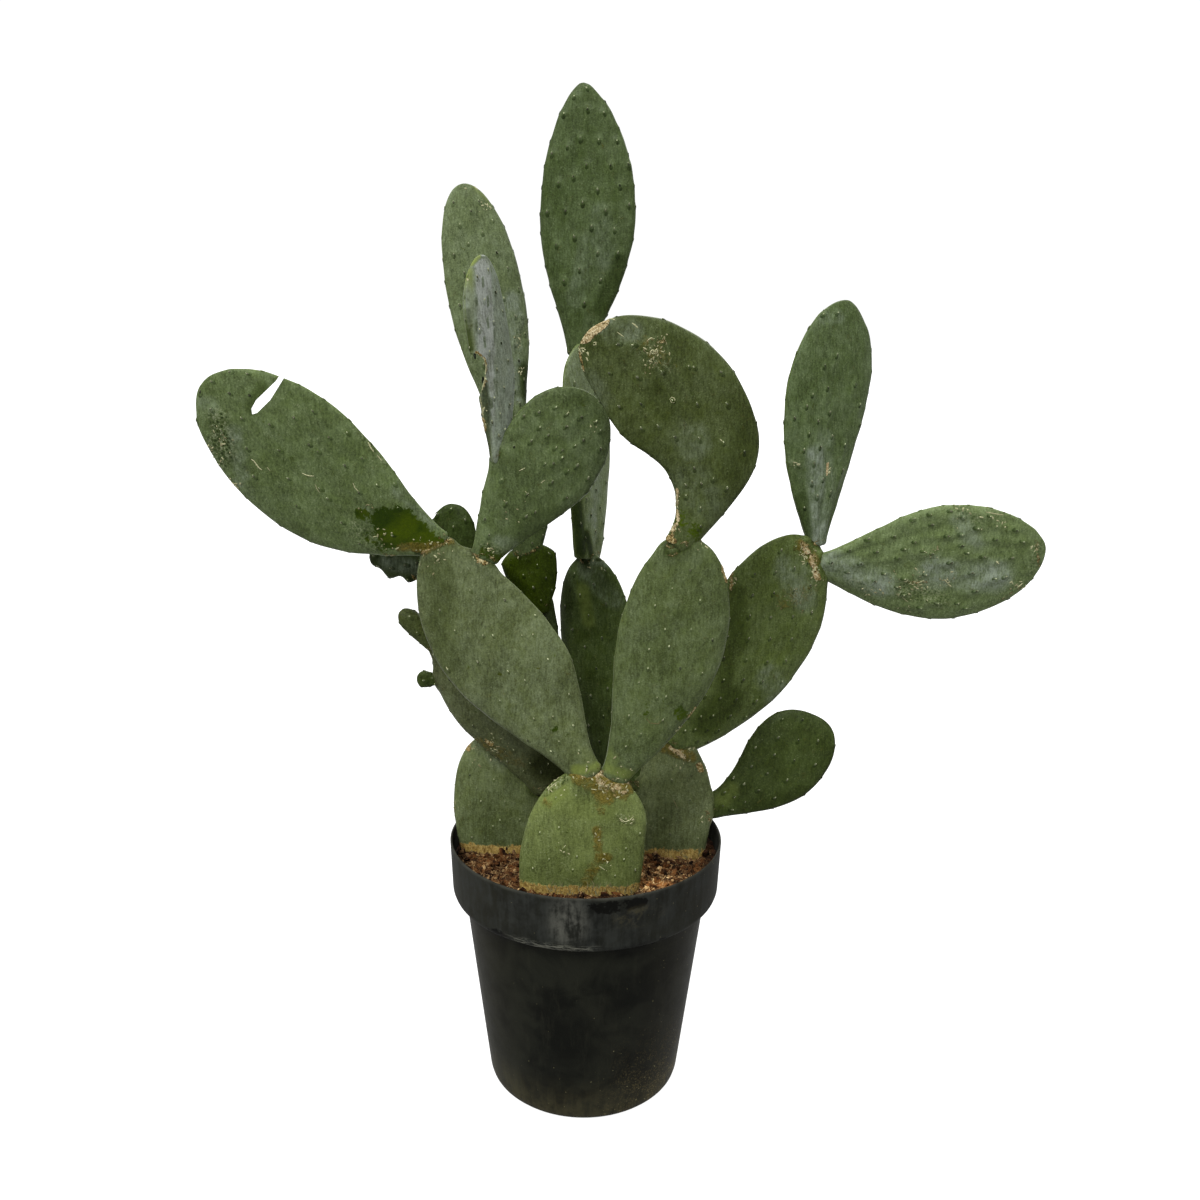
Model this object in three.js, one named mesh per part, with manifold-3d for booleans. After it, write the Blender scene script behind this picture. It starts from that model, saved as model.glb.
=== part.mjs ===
// Paddle cactus in a round black nursery pot. Sizes in mm and degrees, Z up.
// Origin: centre of the pot's underside. -Y faces the viewer, X runs to the viewer's right.
import * as THREE from 'three';
import { mergeVertices } from 'three/addons/utils/BufferGeometryUtils.js';
import ManifoldModule from 'manifold-3d';

const wasm = await ManifoldModule();
wasm.setup();
const { Manifold } = wasm;

const GAP = 0.3; // air between pieces that touch
const CLEAR = 1.2; // spines keep this far from other pads
const MERGE = 1e-4; // vertices closer than this are one

// pot
const SEGMENTS = 48;
const HOLE_COUNT = 6;
const HOLE_R = 6;
const HOLE_RING_R = 66;
const HOLE_SIDES = 10;
const POT_OUTSIDE = [
  [86, 0],
  [92, 2],
  [96, 6],
  [97.5, 11],
  [120.8, 203.5],
  [127, 205.5],
  [131.5, 208],
  [133, 212],
  [135, 261],
  [134.4, 262],
];
const POT_INSIDE = [
  [133.4, 262],
  [132.8, 261],
  [131, 213],
  [128, 208],
  [119, 205.5],
  [95.8, 12],
  [94, 7],
  [91, 4],
  [86, 2.2],
];
const FLOOR = 2.2;

// soil
const SOIL_Z = 240;
const SOIL_RINGS = 6;
const SOIL_SWELL = 1.8;
const SOIL_GRIT = 1;

// pads
const RING = 16; // points around a pad's section
const SMALL_RING = 12; // and around that of a pad under SMALL wide
const SMALL = 60;
const SECTION = 2.4; // roundness of the section: 2 is an ellipse, more is boxier
const ROW_STEP = 18; // between rows of areoles along a pad
const LAST_ROW = 0.9;
const END_ROWS = [0.955, 0.986];
const ROOT = 8; // how far a foot runs on into its parent before it is trimmed
const ROOT_TAPER = 0.7;
const THIN_FOOT = 0.78;
const THICKEST = 0.45;
const TIP_FULLNESS = 2.6; // how long a pad keeps its thickness towards the tip
const LOBE_WAVES = 2.5;

// spines
const SPINE_R = 0.45;
const SPINE_OUT = 3.2;
const SPINE_SUNK = 2.4;
const SPINE_AREA = 1800; // one spine for this much of length by width, mm2
const SPINE_SLOPE = 0.5;
const SPINE_FLOOR = 8; // no spines this near the soil
const OFF_PEAK = 0.12; // root's share of the way from its raised point to the points beside it

// at: foot centre. lean: tilt to the right, back: tilt away from the viewer, turn: twist about its length.
// widest, taper, tip, skew and square shape the outline; bend curves it in its own plane.
const PADS = [
  { name: 'base_front', at: [-4, -72, 190], lean: 1, back: -2, length: 171, width: 118, thick: 26,
    foot: 90, widest: 0.53, taper: 1, tip: 1.07, skew: 0.15, square: 2.1, bump: 0.5 },
  { name: 'base_left', at: [-77, 4, 190], lean: -3, back: 3, length: 174, width: 102, thick: 24,
    foot: 74, widest: 0.57, taper: 1.4, tip: 0.95, skew: 0.09, bump: 0.5 },
  { name: 'base_right', at: [64, 2, 190], lean: 7.5, back: 4, turn: -6, length: 172, width: 99, thick: 24,
    foot: 90, widest: 0.52, bump: 0.5 },
  { name: 'front_left', at: [5, -77, 357], lean: -34, back: 4, turn: -5, length: 260, width: 109, thick: 20,
    foot: 34, widest: 0.52, taper: 1.7, tip: 1.37, bend: 10, skew: -0.07, bump: 0.6 },
  { name: 'front_right', at: [25, -77, 352], lean: 14.5, back: -3, turn: 6, length: 239, width: 97, thick: 20,
    foot: 30, widest: 0.61, taper: 1.3, tip: 0.93, bend: -31, bump: 0.6 },
  { name: 'far_left', at: [-132, -60, 567], lean: -53, back: -6, turn: -12, length: 240, width: 123,
    widest: 0.55, tip: 1.06, bend: 27, skew: 0.05,
    cut: [[60, 188], [38, 187], [19, 186.5], [2, 189.5], [-2, 193], [2, 196.5], [11, 197.5], [36, 192], [60, 192]] },
  { name: 'centre_left', at: [-91, -64, 558], lean: 36.5, back: 6, turn: 10, length: 168, width: 92,
    widest: 0.67, tip: 1.06, bend: 18, skew: -0.04 },
  { name: 'curved', at: [77, -90, 576], lean: -28, back: -4, turn: 9, length: 228, width: 106,
    widest: 0.51, taper: 2.3, tip: 1.05, bend: -126, skew: -0.11, bump: 1 },
  { name: 'right', at: [91, 11, 352], lean: 29, back: 7, turn: 12, length: 242, width: 117, thick: 18,
    widest: 0.58, taper: 1, tip: 1.08, bend: -26, bump: 1 },
  { name: 'upper_right', at: [222, 47, 553], lean: 5.5, back: 6, turn: 25, length: 233, width: 94,
    foot: 20, widest: 0.64, taper: 1.03, tip: 1.2, bend: 22 },
  { name: 'far_right', at: [226, 46, 529], lean: 82, back: -9, turn: 12, length: 212, width: 120,
    widest: 0.57, taper: 1.26, tip: 1.17, bend: -21 },
  { name: 'low_right', at: [128, 6, 288], lean: 45.5, back: 4, turn: -12, length: 140, width: 81, thick: 13,
    widest: 0.67, taper: 1.95, tip: 0.74, bend: -49, bump: 1 },
  { name: 'back_centre', at: [34, 14, 308], lean: -9.5, back: 9, turn: -25, length: 232, width: 83,
    widest: 0.6, tip: 0.83, bump: 1 },
  { name: 'back_narrow', at: [-2, 49, 527], lean: -2, back: 5, turn: 55, length: 212, width: 72, thick: 15,
    widest: 0.8, taper: 0.7, tip: 0.97, bend: -13, bump: 1 },
  { name: 'top', at: [-14, 68, 731], lean: 0.5, back: 3, turn: -14, length: 243, width: 92, thick: 14,
    foot: 20, widest: 0.51, taper: 1.3, tip: 1.35, bend: -14 },
  { name: 'left_back', at: [-36, -2, 316], lean: -25.5, back: -5, turn: -6, length: 205, width: 112, thick: 18,
    widest: 0.56, taper: 1.55, tip: 1.03, bump: 0.8 },
  { name: 'left_stem', at: [-74, 12, 352], lean: 6.5, back: 8, turn: 14, length: 165, width: 72, thick: 18,
    widest: 0.47, taper: 1.4, bump: 0.8 },
  { name: 'square', at: [-47, 26, 489], lean: -11.5, back: 2, turn: 8, length: 58, width: 53, thick: 14,
    foot: 22, widest: 0.8, taper: 0.8, square: 2.2, bump: 1 },
  { name: 'link', at: [-59, 28, 543], lean: -9.5, back: 9, turn: 18, length: 75, width: 52, thick: 14,
    foot: 28, tip: 0.9, bump: 1 },
  { name: 'tall_back', at: [-71, 39, 613], lean: -10.5, back: 4, turn: 30, length: 274, width: 78, thick: 15,
    widest: 0.62, taper: 2.2, tip: 0.97, bend: -5 },
  { name: 'grey_narrow', at: [-77, -65, 648], lean: -5, back: 5, turn: 55, length: 167, width: 55, thick: 13,
    foot: 16, widest: 0.57, taper: 2.1, tip: 1.06, bend: 6, skew: -0.15,
    cut: [[-40, 66], [-20, 69], [-10, 74], [-8, 79], [-18, 83], [-40, 84]] },
  { name: 'hidden_top', at: [-137, -20, 496], lean: 8, back: 4, turn: -8, length: 100, width: 52, thick: 13,
    widest: 0.48, tip: 0.88,
    cut: [[-40, 79], [-22, 81], [-18, 84], [-15, 88], [-15, 92], [-12, 96], [-14, 114], [-40, 114]] },
  { name: 'crest', at: [-155, -8, 533], lean: -76, length: 52, width: 31, thick: 13,
    foot: 20, widest: 0.3, square: 2.1, lobes: 0.16 },
  { name: 'bud_left', at: [-146, -14, 462], lean: -43, turn: 20, length: 44, width: 20, thick: 11,
    foot: 16, widest: 0.65, bump: 0.8 },
  { name: 'tiny_bud', at: [-145, -10, 425], lean: -85, length: 19, width: 17, thick: 8,
    foot: 9, widest: 0.62, bump: 0.6 },
];
const PAD_DEFAULTS = {
  back: 0, turn: 0, thick: 16, foot: 26, widest: 0.55, taper: 1.2, tip: 1,
  skew: 0, square: 2, bend: 0, lobes: 0, bump: 1.4, cut: null,
};

const COLOURS = { pot: 0x1d1e1f, soil: 0x4a3527, older: 0x5d7040, younger: 0x48603d };

function seeded(seed) {
  let state = seed >>> 0;
  return () => {
    state = (Math.imul(state, 1664525) + 1013904223) >>> 0;
    return state / 4294967296;
  };
}

// A closed three.js geometry as a solid: shared vertices merged, collapsed triangles dropped, faces out.
function solidOf(geometry) {
  const bare = new THREE.BufferGeometry();
  bare.setAttribute('position', geometry.getAttribute('position'));
  bare.setIndex(geometry.getIndex());
  const merged = mergeVertices(bare, MERGE);
  const index = merged.getIndex().array;
  const kept = [];
  for (let i = 0; i < index.length; i += 3) {
    const [a, b, c] = [index[i], index[i + 1], index[i + 2]];
    if (a !== b && b !== c && c !== a) kept.push([a, b, c]);
  }
  const vertProperties = new Float32Array(merged.getAttribute('position').array);
  const build = (triangles) => new Manifold(new wasm.Mesh({
    numProp: 3,
    vertProperties,
    triVerts: new Uint32Array(triangles.flat()),
  }));
  const solid = build(kept);
  return solid.volume() > 0 ? solid : build(kept.map(([a, b, c]) => [a, c, b]));
}

function largest(solid) {
  const parts = solid.decompose();
  parts.sort((a, b) => b.volume() - a.volume());
  return parts[0];
}

// A solid as a named mesh, its geometry in the frame that place gives.
function meshOf(name, solid, colour, roughness, place = new THREE.Matrix4()) {
  const { vertProperties, triVerts } = solid.getMesh();
  const geometry = new THREE.BufferGeometry();
  geometry.setAttribute('position', new THREE.BufferAttribute(new Float32Array(vertProperties), 3));
  geometry.setIndex(new THREE.BufferAttribute(new Uint32Array(triVerts), 1));
  geometry.applyMatrix4(place.clone().invert());
  geometry.computeVertexNormals();
  const material = new THREE.MeshStandardMaterial({ color: colour, roughness, metalness: 0 });
  const mesh = new THREE.Mesh(geometry, material);
  mesh.name = name;
  mesh.applyMatrix4(place);
  return mesh;
}

// A profile of [radius, height] turned about Z. It starts and ends on the axis.
function turned(profile) {
  const points = profile.map(([r, z]) => new THREE.Vector2(r, z));
  return new THREE.LatheGeometry(points, SEGMENTS).rotateX(Math.PI / 2);
}

function potSolid() {
  let pot = solidOf(turned([[0, 0], ...POT_OUTSIDE, ...POT_INSIDE, [0, FLOOR]]));
  for (let i = 0; i < HOLE_COUNT; i++) {
    const a = (2 * Math.PI * (i + 0.5)) / HOLE_COUNT;
    const hole = new THREE.CylinderGeometry(HOLE_R, HOLE_R, 4 * FLOOR, HOLE_SIDES)
      .rotateX(Math.PI / 2)
      .translate(HOLE_RING_R * Math.cos(a), HOLE_RING_R * Math.sin(a), 0);
    pot = pot.subtract(solidOf(hole));
  }
  return pot;
}

// Fills the pot up to SOIL_Z, a gap inside its wall, with a lumpy top.
function soilSolid() {
  const [rimR, rimZ] = POT_INSIDE[1];
  const [collarR, collarZ] = POT_INSIDE[2];
  const topR = collarR + ((rimR - collarR) * (SOIL_Z - collarZ)) / (rimZ - collarZ) - GAP;
  const profile = [[0, SOIL_Z]];
  for (let i = 1; i <= SOIL_RINGS; i++) {
    profile.push([(topR * i) / SOIL_RINGS, SOIL_Z]);
  }
  for (const [r, z] of POT_INSIDE) {
    if (z < SOIL_Z) profile.push([r - GAP, Math.max(z, FLOOR + GAP)]);
  }
  profile.push([0, FLOOR + GAP]);
  const geometry = turned(profile);
  const position = geometry.getAttribute('position');
  for (let i = 0; i < position.count; i++) {
    const x = position.getX(i);
    const y = position.getY(i);
    const z = position.getZ(i);
    if (z > SOIL_Z - 1) position.setZ(i, z + soilLump(x, y));
  }
  return solidOf(geometry);
}

// Height of the lumps at a place on the soil, the same each time it is asked for.
function soilLump(x, y) {
  const swell = Math.sin(x / 31 + 1) * Math.cos(y / 27) + 0.6 * Math.sin((x + y) / 17);
  const grit = Math.sin(x / 4.3 + 2) * Math.sin(y / 3.7) + 0.5 * Math.sin((x - 2 * y) / 6.1);
  return SOIL_SWELL * swell + SOIL_GRIT * grit;
}

const radians = THREE.MathUtils.degToRad;

// Places a pad: X across it, Y along it from its foot, Z out of the face towards the viewer.
function placeOf(pad) {
  const lean = radians(pad.lean);
  const back = radians(pad.back);
  const along = new THREE.Vector3(
    Math.sin(lean) * Math.cos(back), Math.sin(back), Math.cos(lean) * Math.cos(back));
  const out = new THREE.Vector3(0, -1, 0).projectOnPlane(along).normalize();
  out.applyAxisAngle(along, radians(pad.turn));
  const across = new THREE.Vector3().crossVectors(along, out);
  return new THREE.Matrix4().makeBasis(across, along, out).setPosition(...pad.at);
}

function halfWidth(pad, t, side) {
  const half = pad.width / 2;
  const foot = pad.foot / 2;
  const middle = pad.widest + pad.skew * side;
  const lobe = 1 + pad.lobes * Math.sin(2 * Math.PI * LOBE_WAVES * t + side);
  if (t <= middle) {
    const rise = Math.sin((Math.PI / 2) * Math.max(t, 0) / middle) ** pad.taper;
    return (foot + (half - foot) * rise) * lobe;
  }
  const u = Math.min((t - middle) / (1 - middle), 1);
  return half * (1 - u ** pad.square) ** (pad.tip / pad.square) * lobe;
}

function halfThick(pad, t) {
  const half = pad.thick / 2;
  if (t <= THICKEST) {
    const rise = Math.sin(((Math.PI / 2) * Math.max(t, 0)) / THICKEST);
    return half * (THIN_FOOT + (1 - THIN_FOOT) * rise);
  }
  const u = (t - THICKEST) / (1 - THICKEST);
  return half * Math.sqrt(Math.max(1 - u ** TIP_FULLNESS, 0));
}

// Point at fraction t of the length, at sideways offset w and face offset h, in the pad's own frame.
function pointAt(pad, t, w, h) {
  const bend = radians(pad.bend);
  if (bend === 0) return new THREE.Vector3(w, pad.length * t, h);
  const r = pad.length / bend;
  const here = bend * (t - 0.5);
  return new THREE.Vector3(
    r * (Math.cos(bend / 2) - Math.cos(here)) + w * Math.cos(here),
    r * (Math.sin(here) + Math.sin(bend / 2)) - w * Math.sin(here),
    h);
}

const ringOf = (pad) => (pad.width < SMALL ? SMALL_RING : RING);

// Rings of points around a pad, moved out by grow, and by its bump at every second point.
function gridOf(pad, grow) {
  const around = ringOf(pad);
  const count = Math.max(3, Math.round((pad.length * LAST_ROW) / ROW_STEP));
  const rows = [-ROOT / pad.length];
  for (let i = 0; i <= count; i++) rows.push((LAST_ROW * i) / count);
  rows.push(...END_ROWS);
  const smooth = rows.map((t) => {
    const squeeze = t < 0 ? ROOT_TAPER : 1;
    const ring = [];
    for (let j = 0; j < around; j++) {
      const c = Math.cos((2 * Math.PI * j) / around);
      const s = Math.sin((2 * Math.PI * j) / around);
      const w = Math.sign(c) * Math.abs(c) ** (2 / SECTION) * halfWidth(pad, t, Math.sign(c));
      const h = Math.sign(s) * Math.abs(s) ** (2 / SECTION) * halfThick(pad, t);
      ring.push(pointAt(pad, t, w * squeeze, h * squeeze));
    }
    return ring;
  });
  const foot = pointAt(pad, rows[0], 0, 0);
  const tip = pointAt(pad, 1, 0, 0);
  const normals = smooth.map((ring, i) => ring.map((p, j) => {
    const up = i + 1 < smooth.length ? smooth[i + 1][j] : tip;
    const down = i > 0 ? smooth[i - 1][j] : p;
    const round = ring[(j + 1) % around].clone().sub(ring[(j + around - 1) % around]);
    const n = round.cross(up.clone().sub(down)).normalize();
    const outward = p.clone().sub(pointAt(pad, rows[i], 0, 0));
    return n.dot(outward) < 0 ? n.negate() : n;
  }));
  const raised = (i, j) => i > 1 && i <= count + 1 && (i + j) % 2 === 0;
  const points = smooth.map((ring, i) => ring.map((p, j) => (
    p.clone().addScaledVector(normals[i][j], grow + (raised(i, j) ? pad.bump : 0)))));
  const end = tip.clone().sub(pointAt(pad, END_ROWS[1], 0, 0)).normalize();
  tip.addScaledVector(end, grow);
  foot.y -= grow;
  return { points, normals, raised, tip, foot };
}

function padBody(pad, grow) {
  const around = ringOf(pad);
  const { points, tip, foot } = gridOf(pad, grow);
  const last = points.length - 1;
  const tipId = points.length * around;
  const footId = tipId + 1;
  const id = (i, j) => i * around + (j % around);
  const index = [];
  for (let j = 0; j < around; j++) {
    index.push(footId, id(0, j + 1), id(0, j));
    for (let i = 0; i < last; i++) {
      const [a, b, c, d] = [id(i, j), id(i, j + 1), id(i + 1, j + 1), id(i + 1, j)];
      index.push(...((i + j) % 2 === 0 ? [a, b, d, b, c, d] : [a, b, c, a, c, d]));
    }
    index.push(tipId, id(last, j), id(last, j + 1));
  }
  const geometry = new THREE.BufferGeometry().setFromPoints([...points.flat(), tip, foot]);
  geometry.setIndex(index);
  return solidOf(geometry.applyMatrix4(placeOf(pad)));
}

// Flat-sided cutter through a pad's whole thickness, from an outline in the pad's own frame.
function cutter(pad) {
  const shape = new THREE.Shape(pad.cut.map(([x, y]) => new THREE.Vector2(x, y)));
  const geometry = new THREE.ExtrudeGeometry(shape, { depth: 2 * pad.thick, bevelEnabled: false });
  return solidOf(geometry.translate(0, 0, -pad.thick).applyMatrix4(placeOf(pad)));
}

function boxesMeet(a, b) {
  const p = a.boundingBox();
  const q = b.boundingBox();
  return [0, 1, 2].every((k) => p.min[k] < q.max[k] && q.min[k] < p.max[k]);
}

// Small three-sided spines on a seeded draw of a pad's raised points, their roots sunk in.
function spinesOf(pad, random) {
  const { points, normals, raised } = gridOf(pad, 0);
  const spots = [];
  points.forEach((ring, i) => ring.forEach((p, j) => {
    if (raised(i, j)) spots.push([i, j]);
  }));
  const wanted = Math.max(2, Math.round((pad.length * pad.width) / SPINE_AREA));
  const spines = [];
  for (let k = 0; k < wanted; k++) {
    const [i, j] = spots[Math.floor(((k + random()) * spots.length) / wanted)];
    const root = points[i][j].clone().multiplyScalar(1 - 2 * OFF_PEAK)
      .addScaledVector(points[i + 1][j], OFF_PEAK)
      .addScaledVector(points[i][(j + 1) % points[i].length], OFF_PEAK);
    const slope = new THREE.Vector3(random() - 0.5, random(), 0).multiplyScalar(SPINE_SLOPE);
    const way = normals[i][j].clone().add(slope).normalize();
    const turn = new THREE.Quaternion().setFromUnitVectors(new THREE.Vector3(0, 1, 0), way);
    const spine = new THREE.ConeGeometry(SPINE_R, SPINE_SUNK + SPINE_OUT, 3)
      .translate(0, (SPINE_OUT - SPINE_SUNK) / 2, 0)
      .applyQuaternion(turn)
      .translate(root.x, root.y, root.z)
      .applyMatrix4(placeOf(pad));
    spines.push(solidOf(spine));
  }
  return spines;
}

const pads = PADS.map((pad) => ({ ...PAD_DEFAULTS, ...pad }));
const grown = pads.map((pad) => padBody(pad, GAP));
const wide = pads.map((pad) => padBody(pad, CLEAR));

// A pad trimmed a gap away from every pad before it in the list, then set with spines.
function padSolid(index) {
  const pad = pads[index];
  let body = padBody(pad, 0);
  for (const before of grown.slice(0, index)) {
    if (boxesMeet(body, before)) body = body.subtract(before);
  }
  if (pad.cut) body = body.subtract(cutter(pad));
  body = largest(body);
  for (const spine of spinesOf(pad, seeded(101 + index))) {
    const blocked = wide.some((other, k) => (
      k !== index && boxesMeet(spine, other) && !spine.intersect(other).isEmpty()));
    const buried = spine.boundingBox().min[2] < SOIL_Z + SPINE_FLOOR;
    if (!blocked && !buried) body = body.add(spine);
  }
  return largest(body);
}

const group = new THREE.Group();
group.add(meshOf('pot', potSolid(), COLOURS.pot, 0.6));

let soil = soilSolid();
for (const body of grown) {
  if (boxesMeet(soil, body)) soil = soil.subtract(body);
}
group.add(meshOf('soil', largest(soil), COLOURS.soil, 1));

const plant = new THREE.Group();
pads.forEach((pad, i) => {
  const colour = pad.bump < 1 ? COLOURS.older : COLOURS.younger;
  plant.add(meshOf(`pad_${pad.name}`, padSolid(i), colour, 0.55, placeOf(pad)));
});
group.add(plant);

export default group;
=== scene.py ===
"""Potted paddle cactus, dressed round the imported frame. Blender 4.5, metres, Z up.

Pads are drawn in millimetres, each in its own frame: X across it, Y along it from the foot and
Z out of the face that the viewer sees. They use the same driving values as the solids.
"""
import math
from types import SimpleNamespace

import bpy
import numpy as np
from mathutils import Matrix, Vector, noise
from mathutils.bvhtree import BVHTree
from mathutils.kdtree import KDTree


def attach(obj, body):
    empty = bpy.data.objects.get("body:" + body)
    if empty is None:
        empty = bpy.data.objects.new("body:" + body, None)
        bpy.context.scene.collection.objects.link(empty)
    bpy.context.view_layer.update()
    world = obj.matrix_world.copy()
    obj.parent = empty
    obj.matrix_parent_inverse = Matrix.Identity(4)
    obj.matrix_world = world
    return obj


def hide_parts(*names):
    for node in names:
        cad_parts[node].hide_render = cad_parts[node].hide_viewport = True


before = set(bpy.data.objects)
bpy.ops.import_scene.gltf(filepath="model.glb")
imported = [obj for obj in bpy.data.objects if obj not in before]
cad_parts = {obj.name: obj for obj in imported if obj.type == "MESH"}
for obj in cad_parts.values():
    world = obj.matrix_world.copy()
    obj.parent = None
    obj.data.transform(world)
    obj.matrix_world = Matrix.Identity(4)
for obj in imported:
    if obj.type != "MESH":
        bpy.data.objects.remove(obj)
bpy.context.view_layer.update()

MM = 0.001

# camera, fitted to the photograph's 1200 px square
PHOTO = 1200
FOCAL = 1131
SENSOR = 36
CAMERA_AT = (0.011, -1.045, 0.763)
CAMERA_PITCH = math.radians(14)
CAMERA_ROLL = 0.013

# pads, as in the solids
SECTION = 2.4
ROOT = 8
ROOT_TAPER = 0.7
THIN_FOOT = 0.78
THICKEST = 0.45
TIP_FULLNESS = 2.6
LOBE_WAVES = 2.5

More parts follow.
